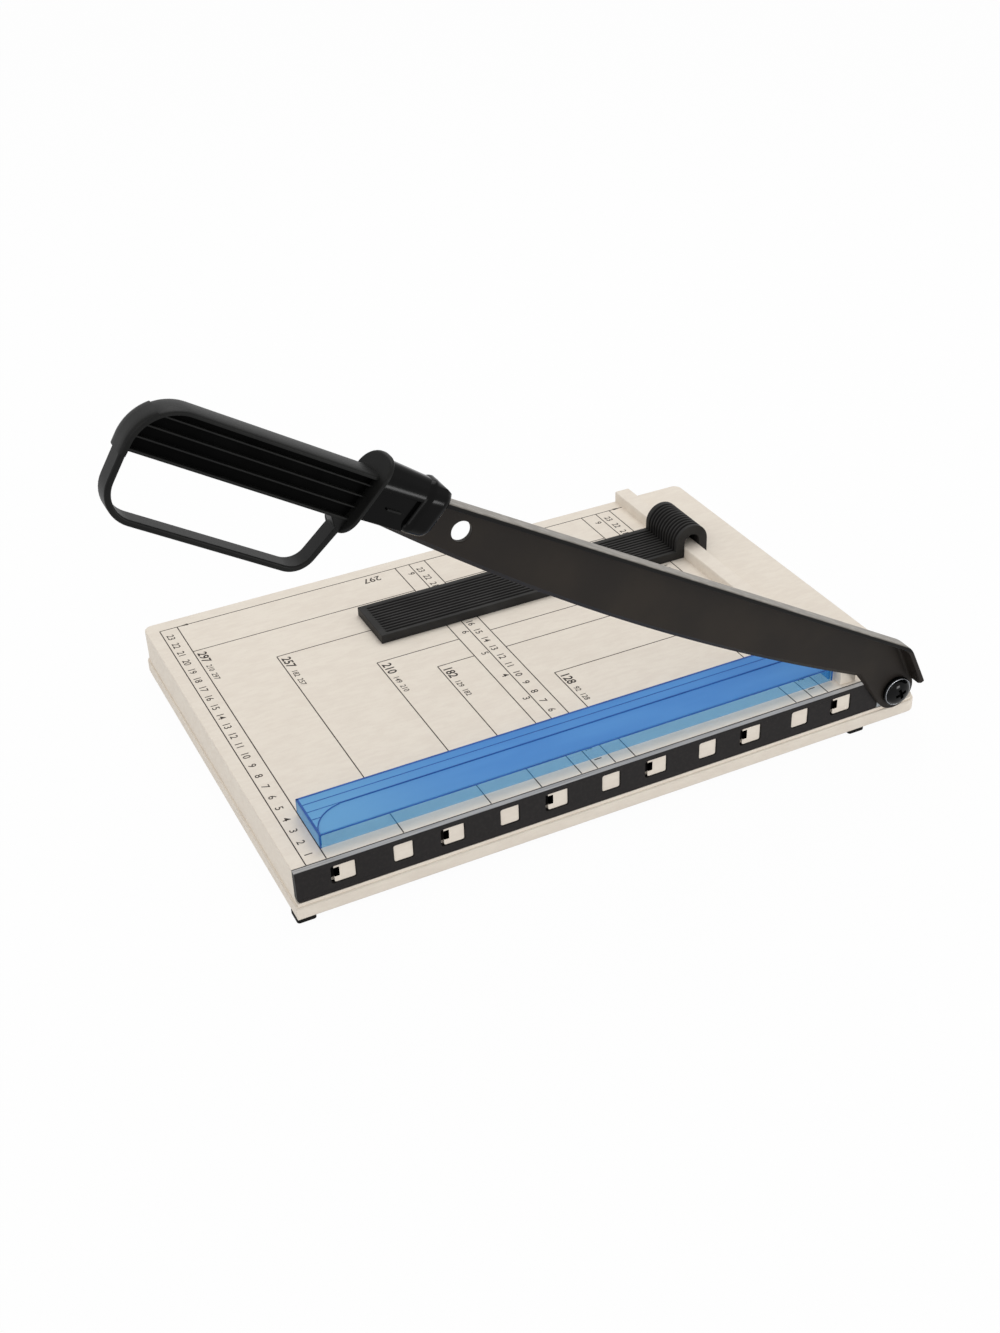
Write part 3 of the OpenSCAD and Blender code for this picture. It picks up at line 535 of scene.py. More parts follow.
def dress(node, name, finish, edgeMm, body, pick):
    mesh = nodes[node].data.copy()
    mesh.name = name
    piece = link(name, mesh)
    shape = bmesh.new()
    shape.from_mesh(mesh)
    near = weld["near"] * mm
    bmesh.ops.remove_doubles(shape, verts=shape.verts, dist=near)
    bmesh.ops.dissolve_limit(shape, angle_limit=weld["flat"], verts=shape.verts, edges=shape.edges)
    bmesh.ops.dissolve_degenerate(shape, dist=near, edges=shape.edges)
    weight = shape.edges.layers.float.new("bevel_weight_edge")
    for edge in shape.edges:
        bent = len(edge.link_faces) == 2 and edge.calc_face_angle() > weld["bent"]
        picked = bent and pick(*((v.co - boardZero) / mm for v in edge.verts))
        edge[weight] = 1.0 if picked else 0.0
    shape.to_mesh(mesh)
    shape.free()
    mesh.materials.clear()
    mesh.materials.append(finishes[finish])
    soft = piece.modifiers.new("edges", "BEVEL")
    soft.limit_method = "WEIGHT"
    soft.width = edgeMm * mm
    soft.segments = weld["segments"]
    soft.use_clamp_overlap = False
    smoothOff(piece)
    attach(piece, body)
    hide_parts(node)


rims = {
    "left": -315, "right": 41.9, "front": 4, "back": 244.9, "trayLeft": -316, "trayFront": -1,
    "railTop": 6.9, "near": 0.1,
}


def deckEdge(p, q):
    # the rim of the deck's top
    outer = [abs(v.x - rims["left"]) < rims["near"] or v.x > rims["right"] or v.y > rims["back"]
             or abs(v.y - rims["front"]) < rims["near"] for v in (p, q)]
    return all(outer) and max(abs(p.z), abs(q.z)) < rims["near"] / 2


def trayEdge(p, q):
    # the rims that run level round the outside
    outer = [v.x < rims["trayLeft"] or v.x > rims["right"] or v.y > rims["back"]
             or v.y < rims["trayFront"] for v in (p, q)]
    return all(outer) and abs(p.z - q.z) < rims["near"]


def anyEdge(p, q):
    return True


def railEdge(p, q):
    return max(p.z, q.z) > rims["railTop"]


def stripEdge(p, q):
    # the outer face's edges
    return max(p.y, q.y) < rims["near"]


basePieces = {
    "deck": ("deck_shell", "cream", 0.7, "cream_plastic", deckEdge),
    "tray": ("tray_shell", "cream", 0.7, "cream_plastic", trayEdge),
    "fence_rail": ("fence", "cream", 0.7, "cream_plastic", railEdge),
    "fixed_blade": ("strip", "strip", 0.25, "black_steel", stripEdge),
    "pivot_bracket": ("bracket", "zinc", 0.3, "bare_steel", stripEdge),
    "feet": ("rubber_feet", "rubber", 0.5, "black_rubber", anyEdge),
}
for node, (name, finish, edgeMm, slot, pick) in basePieces.items():
    dress(node, name, finish, edgeMm, "base", pick)
print("base dressed")


# Paper stop: arm and arched sleeve, ridged across

stop = {
    "end": -200, "y": 165, "w": 36, "float": 0.3, "top": 5.5, "rail": 10, "inR": 5.25, "outR": 11,
    "archZ": 9.6, "crownZ": 9.6, "grooves": 11, "nearRim": 2.4, "farRim": 2.4, "endRim": 3.8,
    "deep": 1.2, "flat": 0.36, "edge": 0.4, "ramp": 0.7, "chamfer": 0.3,
}


def stopSection(draw, edge):
    middle, step, end = stop["rail"] / 2, stop["end"] + stop["endRim"], stop["end"] + edge
    out = stop["outR"] - draw - edge
    low, top = stop["float"], stop["top"] - edge
    right = [(middle + stop["inR"], low), (middle + out, low)]
    crown = arc((middle, stop["crownZ"]), out, 0, math.pi, 24)
    arm = [(middle - out, top - draw), (step + stop["ramp"], top - draw), (step, top),
           (end + stop["chamfer"], top), (end, top - stop["chamfer"]), (end, low),
           (middle - stop["inR"], low)]
    arch = arc((middle, stop["archZ"]), stop["inR"], math.pi, 0, 16)
    return [Vector(p) for p in right] + crown + [Vector(p) for p in arm] + arch


pitch = (stop["w"] - stop["nearRim"] - stop["farRim"]) / stop["grooves"]
near, far = stop["y"], stop["y"] + stop["w"]


def stopPlastic():
    # the grooves are painted darker than the ridges between them, as painted shade; the ridges keep a
    # random worn tone
    look = {
        "ridge": tint(40, 39, 38), "worn": tint(50, 49, 48), "groove": tint(17, 16, 16),
        "blur": (-0.02, 0.02), "dark": (0.12, 0.36),
    }
    f = Finish("stop_black_groove_shade")
    place = f.place()
    x, y = f.axes(place)[:2]
    cloud = f.noise(place, 55, 3)
    grain = f.noise(place, 1400, 3)
    first = boardZero.y + (near + stop["nearRim"]) * mm
    last = boardZero.y + (far - stop["farRim"]) * mm
    run = (y - first) / (pitch * mm)
    offset = f.node("Math", {"operation": "FRACT"}, {0: run}) - (1 - stop["flat"]) / 2
    away = f.node("Math", {"operation": "ABSOLUTE"}, {0: offset})
    inside = f.over(y, first, look["blur"]) * (1 - f.over(y, last, look["blur"]))
    step = stop["end"] + stop["endRim"]
    arm = f.over(x, boardZero.x, (step, step + stop["ramp"]))
    # painted shade along each groove
    groove = (1 - f.step(away, *look["dark"])) * inside * arm
    ridge = f.mix(f.step(cloud, 0.35, 0.68), look["ridge"], look["worn"])
    return f.close(f.solid({
        "Base Color": f.mix(groove, ridge, look["groove"]),
        "Roughness": 0.42 + grain * 0.12,
        "Specular IOR Level": 0.09,
        "Normal": f.bump(grain, 0.16, 0.05),
    }))


finishes["stop"] = stopPlastic()
stations = [(near + run, 0, drop) for run, drop in easing(stop["edge"])]
slope = pitch * (1 - stop["flat"])
for count in range(stop["grooves"]):
    start = near + stop["nearRim"] + count * pitch
    stations += [(start, 0, 0), (start + slope / 2, stop["deep"], 0), (start + slope, 0, 0)]
stations += [(far - run, 0, drop) for run, drop in reversed(easing(stop["edge"]))]
stopShape = bmesh.new()
rings = []
for y, draw, drop in stations:
    rings.append([stopShape.verts.new(alongY(p.x, p.y, y)) for p in stopSection(draw, drop)])
tube(stopShape, rings)
settle(stopShape, "stop_arm", "stop", "stop", "paper_stop")


# Press bar: clear walls under a ridged top with a finger scoop

bar = {
    "x0": -297.6, "x1": -2.5, "y0": 10.4, "y1": 42.4, "low": 1.5, "wallTop": 9.3, "floor": 9.0,
    "top": 9.5, "under": 8.0, "wall": 1.6, "lines": (36, 29.6, 23.2, 16.8), "gap": 0.6,
    "scoopEnd": 20.4, "margin": 0.5, "rim": 0.65, "endRim": 1.25, "backRim": 1.5, "blank": 1.7,
    "inset": 0.2, "lap": 0.6, "sink": 0.5, "soft": 0.2, "stripSoft": 0.25, "wallSoft": 0.3,
    "seamSink": 0.3, "seamDrop": 0.1, "seamSlack": 0.02, "arcWide": (0.5, 0.35), "proud": 0.03,
    "rimSoft": 0.15, "rimIn": 0.4, "postR": 4, "postIn": 10, "fit": 0.1, "seamR": 0.1,
    "seamSoft": 0.08, "arcSoft": 0.06, "cornerR": 0.2,
}
x0, x1, y0, y1 = bar["x0"], bar["x1"], bar["y0"], bar["y1"]
low, bed, crest, wall = bar["low"], bar["floor"], bar["top"], bar["wall"]
half = bar["gap"] / 2
first, second = bar["lines"][:2]


def scoopEdge(y):
    # distance of the scoop's rounded end from the end of the bar
    share = min(max((y - y0) / (second - y0), 0), 1)
    return bar["margin"] + bar["scoopEnd"] * (1 - math.sqrt(1 - share * share))


barShape = bmesh.new()
plate = rectangle(x0 + bar["inset"], x1 - bar["inset"], y0 + wall - bar["lap"], y1)
prism(barShape, plate, bar["under"], bed, onBoard, bar["soft"])
for frontY, backY in ((first + half, y1), (second + half, first - half)):
    strip = rectangle(x0, x1, frontY, backY)
    prism(barShape, strip, bed - bar["sink"], crest, onBoard, bar["stripSoft"])
ends = list(bar["lines"][1:]) + [y0 - half]
for backY, frontY in zip(ends, ends[1:]):
    spots = [frontY + half + (backY - frontY - bar["gap"]) * k / 6 for k in range(7)]
    for end, side in ((x0, 1), (x1, -1)):
        block = [Vector((end, spots[0])), Vector((end, spots[-1]))]
        block += [Vector((end + side * scoopEdge(y), y)) for y in reversed(spots)]
        prism(barShape, block, bed - bar["sink"], crest, onBoard, bar["soft"])
settle(barShape, "press_top", "blue", "press", "press_bar")

# seams and corners in a deeper blue: painted shade, where the tinted plastic looks deepest
seamShape = bmesh.new()
seamLow, seamTop = bed - bar["seamSink"], crest - bar["seamDrop"]


def seam(fromX, toX, y):
    front, back = y - half + bar["seamSlack"], y + half - bar["seamSlack"]
    thread = rectangle(fromX, toX, front, back, bar["seamR"])
    prism(seamShape, thread, seamLow, seamTop, onBoard, bar["seamSoft"])


for y in (first, second):
    seam(x0 + bar["blank"], x1 - bar["blank"], y)
third = bar["lines"][2]
seam(x0 + bar["blank"], x0 + scoopEdge(third), third)
seam(x1 - scoopEdge(third), x1 - bar["blank"], third)
arcSteps = 24
arcTurns = [math.pi / 2 * k / arcSteps for k in range(arcSteps + 1)]
arcSpots = [y0 + (second - half - y0) * math.sin(t) for t in arcTurns]
wide, drift = bar["arcWide"]
for end, side in ((x0, 1), (x1, -1)):
    inside = [Vector((end + side * scoopEdge(y), y)) for y in arcSpots]
    outside = [p + Vector((side * wide, -drift * k / arcSteps)) for k, p in enumerate(inside)]
    prism(seamShape, inside + outside[::-1], seamLow, seamTop, onBoard, bar["arcSoft"])
proud, rim, rimIn = bar["proud"], bar["rim"], bar["rimIn"]
rimBoxes = [
    (x0 - proud, x1 + proud, y0 - proud, y0 + rim),
    (x0 - proud, x1 + proud, y1 - bar["backRim"], y1 + proud),
    (x0 - proud, x0 + bar["endRim"], y0 + rimIn, y1 - rimIn),
    (x1 - rim, x1 + proud, y0 + rimIn, y1 - rimIn),
]
for box in rimBoxes:
    edging = rectangle(*box, bar["seamR"])
    prism(seamShape, edging, crest - bar["sink"], crest + proud, onBoard, bar["rimSoft"])
for x, y in ((x0, y0), (x0, y1 - rim), (x1 - rim, y0), (x1 - rim, y1 - rim)):
    sides = (x - proud, x + rim + proud, y - proud, y + rim + proud)
    corner = rectangle(*sides, bar["cornerR"])
    prism(seamShape, corner, low, crest - rimIn, onBoard, bar["rimSoft"])
settle(seamShape, "press_seams", "edge", "press", "press_bar")

wallShape = bmesh.new()
prism(wallShape, rectangle(x0, x1, y0, y0 + wall), low, bar["wallTop"], onBoard, bar["wallSoft"])
settle(wallShape, "press_front", "clear", "press", "press_bar")

sideShape = bmesh.new()
fit, postR = bar["fit"], bar["postR"]
walls = [rectangle(x, x + wall, y0 + wall + fit, y1 - wall - fit) for x in (x0, x1 - wall)]
walls += [rectangle(x0, x1, y1 - wall, y1)]
for x in (x0 + bar["postIn"], x1 - bar["postIn"]):
    walls += [arc((x, y1 - postR - 1), postR, 0, 2 * math.pi, 32)]
for outline in walls:
    prism(sideShape, outline, low, bar["under"] + fit, onBoard, bar["wallSoft"])
settle(sideShape, "press_sides", "blue", "press", "press_bar")

# Lifting springs, built once at the imported length; the real ones shorten as the bar is pressed down

coil = {"turns": 6, "perTurn": 20, "r": 2.9, "wire": 0.35, "sides": 10, "travel": 1.2}
foot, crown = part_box("press_springs")
springLong = (crown.z - foot.z) / mm
reach = (coil["r"] + coil["wire"]) * mm
last = coil["turns"] * coil["perTurn"]
springShape = bmesh.new()
for x in (foot.x + reach, crown.x - reach):
    middle = Vector((x, (foot.y + crown.y) / 2, foot.z))
    rings = []
    for count in range(last + 1):
        t = 2 * math.pi * count / coil["perTurn"]
        climb = coil["wire"] + (springLong - 2 * coil["wire"]) * count / last
        section = arc((coil["r"], climb), coil["wire"], 0, 2 * math.pi, coil["sides"])[:-1]
        spots = [Vector((p.x * math.cos(t), p.x * math.sin(t), p.y)) for p in section]
        rings.append([springShape.verts.new(middle + p * mm) for p in spots])
    tube(springShape, rings)
springs = settle(springShape, "spring_coils", "steel", "base", "press_springs")
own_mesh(springs)
print("stop and press bar built")


# Blade: a plate with a ground convex edge, its back bent over into a flange and a hood

arm = {
    "y0": -2.8, "y1": -0.3, "flange": -12.3, "back": 27.6, "thick": 2.5, "end": 347.1,
    "edgeR": 1390, "edgeMid": 162, "edgeDrop": 5.4, "ground": 2.5, "heel": 30, "tailR": 11.6,
    "hoodReach": 13.5, "hoodTurn": math.radians(34.6), "hoodR": 16, "bendIn": 1.5, "leg": 6,
    "tipR": 3.2, "lipR": 0.5, "lap": 3, "soft": 0.25, "keen": 0.1, "slack": 0.02,
    "hole": (301.5, 14.56, 5),
}


def backPath(draw):
    # the blade's outer back from the handle to the tip of the hood, drawn inwards
    turn, bendR = arm["hoodTurn"], arm["hoodR"] - draw
    reach, top = arm["hoodReach"] - draw, arm["back"] - draw
    corner = Vector(((math.cos(turn) * top - reach) / math.sin(turn), top))
    middle = (corner.x + bendR * math.tan(turn / 2), top - arm["hoodR"] + draw)
    bend = arc(middle, bendR, math.pi / 2, math.pi / 2 + turn, 12)
    tip = reach * Vector((-math.sin(turn), math.cos(turn)))
    return [Vector((arm["end"], top))] + bend + [bend[-1].lerp(tip, k / 10) for k in range(1, 11)]


def edgeHeight(u):
    return arm["edgeR"] - arm["edgeDrop"] - math.sqrt(arm["edgeR"] ** 2 - (u - arm["edgeMid"]) ** 2)


bladeShape = bmesh.new()
edgeSteps = 60
edgeRun = [arm["heel"] + (arm["end"] - arm["heel"]) * k / edgeSteps for k in range(edgeSteps + 1)]
cutting = [Vector((u, edgeHeight(u))) for u in edgeRun]
heelPoint = cutting[0]
heelTurn = math.atan2(heelPoint.y, heelPoint.x) - math.acos(arm["tailR"] / heelPoint.length)
tail = arc((0, 0), arm["tailR"], math.pi / 2 + arm["hoodTurn"], 2 * math.pi + heelTurn, 36)
plate = cutting + backPath(arm["lap"]) + tail
isEdge = [True] * len(cutting) + [False] * (len(plate) - len(cutting))
hole = arc(arm["hole"][:2], arm["hole"][2], 0, 2 * math.pi, 48)[:-1]
soft, keen = arm["soft"], arm["keen"]
layers = [  # depth, draw, and how far the cutting edge is lifted there
    (arm["y0"], soft, arm["ground"]), (arm["y0"] + soft, 0, arm["ground"] * 0.9),
    (arm["y1"] - keen, 0, keen), (arm["y1"], keen / 2, 0),
]
faces = []
for y, draw, lift in layers:
    ring = [p + Vector((0, lift)) if edge else p for p, edge in zip(plate, isEdge)]
    faces.append([[bladeShape.verts.new(onBlade(p.x, p.y, y)) for p in inset(outline, draw)]
                  for outline in (ring, hole[::-1])])
for side in (0, 1):
    skin(bladeShape, [pair[side] for pair in faces])
cover(bladeShape, faces[0])
cover(bladeShape, faces[-1])

bendOut = arm["bendIn"] + arm["thick"]
bendAt = (arm["y1"] - bendOut, bendOut)
slack, lipR, lipY = arm["slack"], arm["lipR"], arm["flange"] + arm["lipR"]
section = [Vector((arm["y1"] - slack, arm["leg"]))]
section += arc(bendAt, bendOut - slack / 2, 0, -math.pi / 2, 8)
tipAt = len(section)
section += arc((lipY, lipR), lipR, -math.pi / 2, -math.pi, 3)
section += arc((lipY, arm["thick"] - lipR), lipR, math.pi, math.pi / 2, 3)
tipEnd = len(section)
section += arc(bendAt, arm["bendIn"], -math.pi / 2, 0, 6)
section += [Vector((arm["y0"] + slack, arm["leg"]))]
outer = backPath(0)
whole = sum((q - p).length for p, q in zip(outer, outer[1:]))
rings, gone = [], 0
for i, spot in enumerate(outer):
    gone += (spot - outer[i - 1]).length if i else 0
    left = whole - gone
    ahead = (outer[min(i + 1, len(outer) - 1)] - outer[max(i - 1, 0)]).normalized()
    inward = Vector((-ahead.y, ahead.x))
    short = max(arm["tipR"] - left, 0)
    pull = arm["tipR"] - math.sqrt(max(arm["tipR"] ** 2 - short * short, 0))
    ring = []
    for k, p in enumerate(section):
        y = p.x + (pull if tipAt <= k < tipEnd else 0)
        at = spot + inward * p.y
        ring.append(bladeShape.verts.new(onBlade(at.x, at.y, y)))
    rings.append(ring)
tube(bladeShape, rings)
settle(bladeShape, "blade_arm", "blade", "arm", "blade")
print("blade built")


# Handle: ribbed grip, finger loop, leaning collar, and the neck that sleeves the blade

grip = {
    "u0": 355.1, "u1": 463.1, "tilt": math.radians(1.3), "lean": math.tan(math.radians(14)),
    "leanW": 20, "y": -6, "top": 30.2, "low": 7.4, "cornerR": 21, "rim": 2.4, "half": 7,
    "root": 1.5, "under": 0.8, "recess": 3.4, "flangeT": 1.3, "flangeIn": 0.2, "flangeSoft": 0.4,
    "ribs": (13.85, 19.2, 24.5), "ribT": 0.8, "ribIn": 0.6, "ribSoft": 0.32, "ribRoot": 3,
    "pad": 0.45, "padTo": math.radians(50), "padDrop": 4, "crown": 0.36, "round": 0.22,
    "lap": 1, "panelIn": 0.5, "panelSoft": 0.1,
}


def onGrip(u, w, y):
    du, c, s = u - grip["u0"], math.cos(grip["tilt"]), math.sin(grip["tilt"])
    return onBlade(grip["u0"] + du * c - w * s, du * s + w * c, y)


def leanAt(u, w):
    return u - (w - grip["leanW"]) * grip["lean"]


def leaning(y, w, u):
    return onBlade(leanAt(u, w), w, y)


def band(shape, outer, inner, section):
    # strap between two paths; the section gives shares of its thickness across its width
    rings = []
    for p, q in zip(outer, inner):
        rings.append([shape.verts.new(onGrip(*p.lerp(q, share), y)) for share, y in section])
    tube(shape, rings)


front, back = grip["y"] - grip["half"], grip["y"] + grip["half"]
root = grip["u0"] + grip["root"]
top, low, end, corner = grip["top"], grip["low"], grip["u1"], grip["cornerR"]
rim, under, lap = grip["rim"], grip["under"], grip["lap"]
mid = (end - corner, top - corner)
panelShape = bmesh.new()
panelLow, recess = low + grip["panelIn"], grip["recess"]
panel = rounded([
    (leanAt(root, top) - lap, top - under, 0), (end - under, top - under, corner - under),
    (end - under, panelLow, 0), (leanAt(root, low) - lap, panelLow, 0)], 14)
# painted shade: the panel takes the darker copy of the grip's plastic
prism(panelShape, panel, front + recess, back - recess, onGrip, grip["panelSoft"])
settle(panelShape, "grip_panel", "panel", "arm", "handle")

rimShape = bmesh.new()


def rimPath(draw, foot):
    start = Vector((leanAt(root, top), top - draw))
    bend = arc(mid, corner - draw, math.pi / 2, 0, 24)
    return [start] + bend + [Vector((end - draw, foot))]


spread = [-1, -0.98, -0.93, -0.82, -0.62, -0.35, 0, 0.35, 0.62, 0.82, 0.93, 0.98, 1]
crowned = []
for s in spread:
    fall = grip["crown"] * abs(s) ** 2.4 + grip["round"] * abs(s) ** 20
    crowned.append((fall, grip["y"] + s * grip["half"]))
crowned += [(1, back), (1, front)]
band(rimShape, rimPath(0, low - lap), rimPath(rim, low - lap), crowned)
flange = oblong(leanAt(root, low), end - under, low, low + grip["flangeT"])
flangeIn = grip["flangeIn"]
prism(rimShape, flange, front + flangeIn, back - flangeIn, onGrip, grip["flangeSoft"])
thin, ribIn = grip["ribT"] / 2, grip["ribIn"]
for w in grip["ribs"]:
    reach = end - corner + math.sqrt((corner - rim / 2) ** 2 - (w - top + corner) ** 2)
    rib = oblong(leanAt(root, w) - grip["ribRoot"], reach, w - thin, w + thin)
    prism(rimShape, rib, front + ribIn, back - ribIn, onGrip, grip["ribSoft"])
settle(rimShape, "grip_rim", "grip", "arm", "handle")

padShape = bmesh.new()


def padPath(radius, straight):
    return arc(mid, radius, grip["padTo"], 0, 16) + [Vector((straight, mid[1] - grip["padDrop"]))]


padded = [
    (0.92, -1.05), (0.6, -1.045), (0.34, -1.01), (0.14, -0.92), (0.03, -0.75), (0, -0.4),
    (0, 0.3), (0.02, 0.62), (0.14, 0.85), (0.34, 0.96), (0.6, 1),
]
padded = [(share, grip["y"] + s * grip["half"]) for share, s in padded]
swell = grip["pad"]
band(padShape, padPath(corner + swell, end + swell), padPath(corner - rim, end - rim), padded)
settle(padShape, "thumb_pad", "grip", "arm", "handle")

loop = {
    "post": 370.1, "drop": -21.6, "head": (360.6, 370.2), "gusset": (365.2, 2.7), "t": 2.8,
    "postT": 1.5, "endR": 15, "postR": 12, "y0": -12, "y1": -2, "soft": 0.9, "tuck": (0.8, 1),
    "gussetR": 0.5,
}
loopShape = bmesh.new()
drop, thick = loop["drop"], loop["t"]
headTop, endTop = low + loop["tuck"][0], low + loop["tuck"][1]
strap = rounded([
    (loop["head"][0], headTop, 0), (loop["post"], drop, loop["postR"]), (end, drop, loop["endR"]),
    (end, endTop, 0), (end - thick, endTop, 0),
    (end - thick, drop + thick, loop["endR"] - thick),
    (loop["post"] + loop["postT"], drop + thick, loop["postR"] - thick),
    (*loop["gusset"], loop["gussetR"]), (loop["head"][1], headTop, 0)], 12)
prism(loopShape, strap, loop["y0"], loop["y1"], onGrip, loop["soft"], rounds=4)
settle(loopShape, "finger_loop", "grip", "arm", "handle")

neck = {
    "collarHalf": 11.2, "collarLow": 0.6, "collarTop": 38, "collarR": 9.6, "collarFrom": 356.2,
    "collarT": 3.3, "collarSoft": 1.2, "skew": 0.046, "half": 8.5, "low": 9.5, "top": 34.1,
    "rise": 0.1, "riseFrom": 331.4, "shoulder": 28.6, "chamfer": 5.6, "r": 5.4, "shoulderR": 8.4,
    "lowR": 5, "pocketY": -12.4, "pocketTop": 24.8, "u": 321.8, "bossL": 13.7, "bossHalf": 10,
    "bossTop": 34.6, "bossSoft": (4.5, 4.2), "slopeFrom": 4.5, "slope": math.tan(math.radians(27)),
    "screws": (326.6, 340.6), "screwW": 18, "headR": 3.25, "seat": 1.1, "drillTo": 8,
    "ledge": (16.9, 17.8), "ledgeY": (-1.2, 1), "ledgeU": (4, 11), "ledgeR": 0.2, "ledgeSoft": 0.15,
    "shelfR": 0.5, "pocketR": 0.6, "lap": (2, 1), "soft": 0.2, "drillSoft": 0.05,
}


def shouldered(half, top):
    # the front and back lean in above the shoulders, up to a narrower crown
    y0, y1, slant = grip["y"] - half, grip["y"] + half, neck["chamfer"]
    shoulder = (neck["shoulder"], neck["shoulderR"])
    return [(y1, neck["low"], neck["lowR"]), (y1, *shoulder), (y1 - slant, top, neck["r"]),
            (y0 + slant, top, neck["r"]), (y0, *shoulder)]


def collarSpot(y, w, depth):
    # the collar is thicker at the back than at the front
    grown = depth * (1 + neck["skew"] * (y - grip["y"]))
    return onBlade(leanAt(neck["collarFrom"] + grown, w), w, y)


def sloped(y, w, u):
    # the boss's crown falls towards its end
    at = leanAt(u, w)
    fall = max(neck["u"] + neck["slopeFrom"] - at, 0) * neck["slope"]
    return onBlade(at, min(w, neck["bossTop"] - fall), y)


def rising(y, w, u):
    # the neck's crown climbs from the boss to the collar
    at = leanAt(u, w)
    share = max(w - neck["shoulder"], 0) / (neck["top"] - neck["shoulder"])
    return onBlade(at, w + share * neck["rise"] * max(at - neck["riseFrom"], 0), y)


def screwHoles(spots):
    drill = bmesh.new()
    for along in spots:
        bore = arc((along, neck["screwW"]), neck["headR"], 0, 2 * math.pi, 32)
        prism(drill, bore, neck["seat"], neck["drillTo"], onBlade, neck["drillSoft"])
    return drill


collarShape = bmesh.new()
collarY = (grip["y"] - neck["collarHalf"], grip["y"] + neck["collarHalf"])
collar = rectangle(*collarY, neck["collarLow"], neck["collarTop"], neck["collarR"], 10)
prism(collarShape, collar, 0, neck["collarT"], collarSpot, neck["collarSoft"], rounds=5)
settle(collarShape, "collar", "grip", "arm", "handle")

y0 = grip["y"] - neck["half"]
shelf, pocket = neck["pocketTop"], neck["pocketY"]
shelfR = neck["shelfR"]
bodyOutline = rounded(shouldered(neck["half"], neck["top"]) + [
    (y0, shelf, shelfR), (pocket, shelf, shelfR), (pocket, neck["low"], neck["pocketR"])], 10)
bossEnd = neck["u"] + neck["bossL"]
neckShape = bmesh.new()
neckFrom, neckTo = bossEnd - neck["lap"][0], neck["collarFrom"] + neck["lap"][1]
prism(neckShape, bodyOutline, neckFrom, neckTo, rising, neck["soft"])
settle(neckShape, "neck", "neck", "arm", "handle", screwHoles(neck["screws"]))

ledgeShape = bmesh.new()
ledgeLow, ledgeTop = neck["ledge"]
outY, inY = pocket + neck["ledgeY"][0], pocket + neck["ledgeY"][1]
ledgeR = neck["ledgeR"]
ledge = rounded([
    (outY, ledgeLow, ledgeR), (inY, ledgeLow, 0), (inY, ledgeTop, 0), (outY, ledgeTop, ledgeR)], 3)
ledgeFrom, ledgeTo = neck["ledgeU"]
prism(ledgeShape, ledge, bossEnd + ledgeFrom, bossEnd + ledgeTo, leaning, neck["ledgeSoft"])
settle(ledgeShape, "neck_ledge", "grip", "arm", "handle")

bossShape = bmesh.new()
bossFoot = [(grip["y"] - neck["bossHalf"], neck["low"], neck["lowR"])]
bossOutline = rounded(bossFoot + shouldered(neck["bossHalf"], neck["bossTop"]), 10)
prism(bossShape, bossOutline, neck["u"], bossEnd, sloped, *neck["bossSoft"], rounds=6)
settle(bossShape, "neck_boss", "neck", "arm", "handle",
       screwHoles(neck["screws"][:1]))
print("handle built")


# Pivot bolt: thick domed head with a cross recess

bolt = {
    "headR": 8.6, "seat": -3.9, "headT": 1.3, "domeR": 7.5, "domeH": 3.1, "rimR": 0.5, "soft": 0.2,
    "groove": ((0.1, 0.3), (0.35, 0.05)), "cross": (6.6, 1.9, 2.6), "turn": math.radians(20),
    "shank": 4, "end": 12, "ringR": 7.85, "ringLift": 0.02, "bead": 0.2, "ringSteps": 72,
    "crossFrom": -2, "crossSoft": (0.05, 0.4),
}


def onBolt(a, b, y):
    return Vector((pivot.x, boardZero.y, pivot.z)) + Vector((a, y, b)) * mm


headR, domeR, rimR, soft = bolt["headR"], bolt["domeR"], bolt["rimR"], bolt["soft"]
seat, shank = bolt["seat"], bolt["shank"]
face = seat - bolt["headT"]
domeTurns = [math.pi / 2 * k / 10 for k in range(11)]
profile = [(domeR * math.sin(t), face - bolt["domeH"] * math.cos(t)) for t in domeTurns]
profile += [(domeR + out, face + deep) for out, deep in bolt["groove"]]
profile += [(headR - rimR + rimR * math.sin(t), face + rimR - rimR * math.cos(t))
            for t in domeTurns[::2]]
profile += [(headR, seat - soft), (headR - soft, seat), (shank, seat), (shank, bolt["end"]),
            (0, bolt["end"])]
boltShape = bmesh.new()
lathe(boltShape, profile, onBolt)
cross = bmesh.new()
long, wide, deep = bolt["cross"]
a, b = long / 2, wide / 2
plus = [(a, -b), (a, b), (b, b), (b, a), (-b, a), (-b, b),
        (-a, b), (-a, -b), (-b, -b), (-b, -a), (b, -a), (b, -b)]
spin = Matrix.Rotation(bolt["turn"], 2)
pole = face - bolt["domeH"]
plus = [spin @ Vector(p) for p in plus]
prism(cross, plus, pole + bolt["crossFrom"], pole + deep, onBolt, *bolt["crossSoft"])
settle(boltShape, "bolt", "bolt", "base", "pivot_bolt", cross)

# bright steel ring around the dome: a painted highlight, standing in for the light that the head's
# machined edge catches
highlightShape = bmesh.new()
bead = arc((bolt["ringR"], face + bolt["ringLift"]), bolt["bead"], 0, 2 * math.pi, 8)[:-1]
beads = []
for count in range(bolt["ringSteps"]):
    t = 2 * math.pi * count / bolt["ringSteps"]
    spots = [(p.x * math.cos(t), p.x * math.sin(t), p.y) for p in bead]
    beads.append([highlightShape.verts.new(onBolt(*spot)) for spot in spots])
skin(highlightShape, beads, True)
settle(highlightShape, "bolt_painted_highlight", "steel", "base", "pivot_bolt")

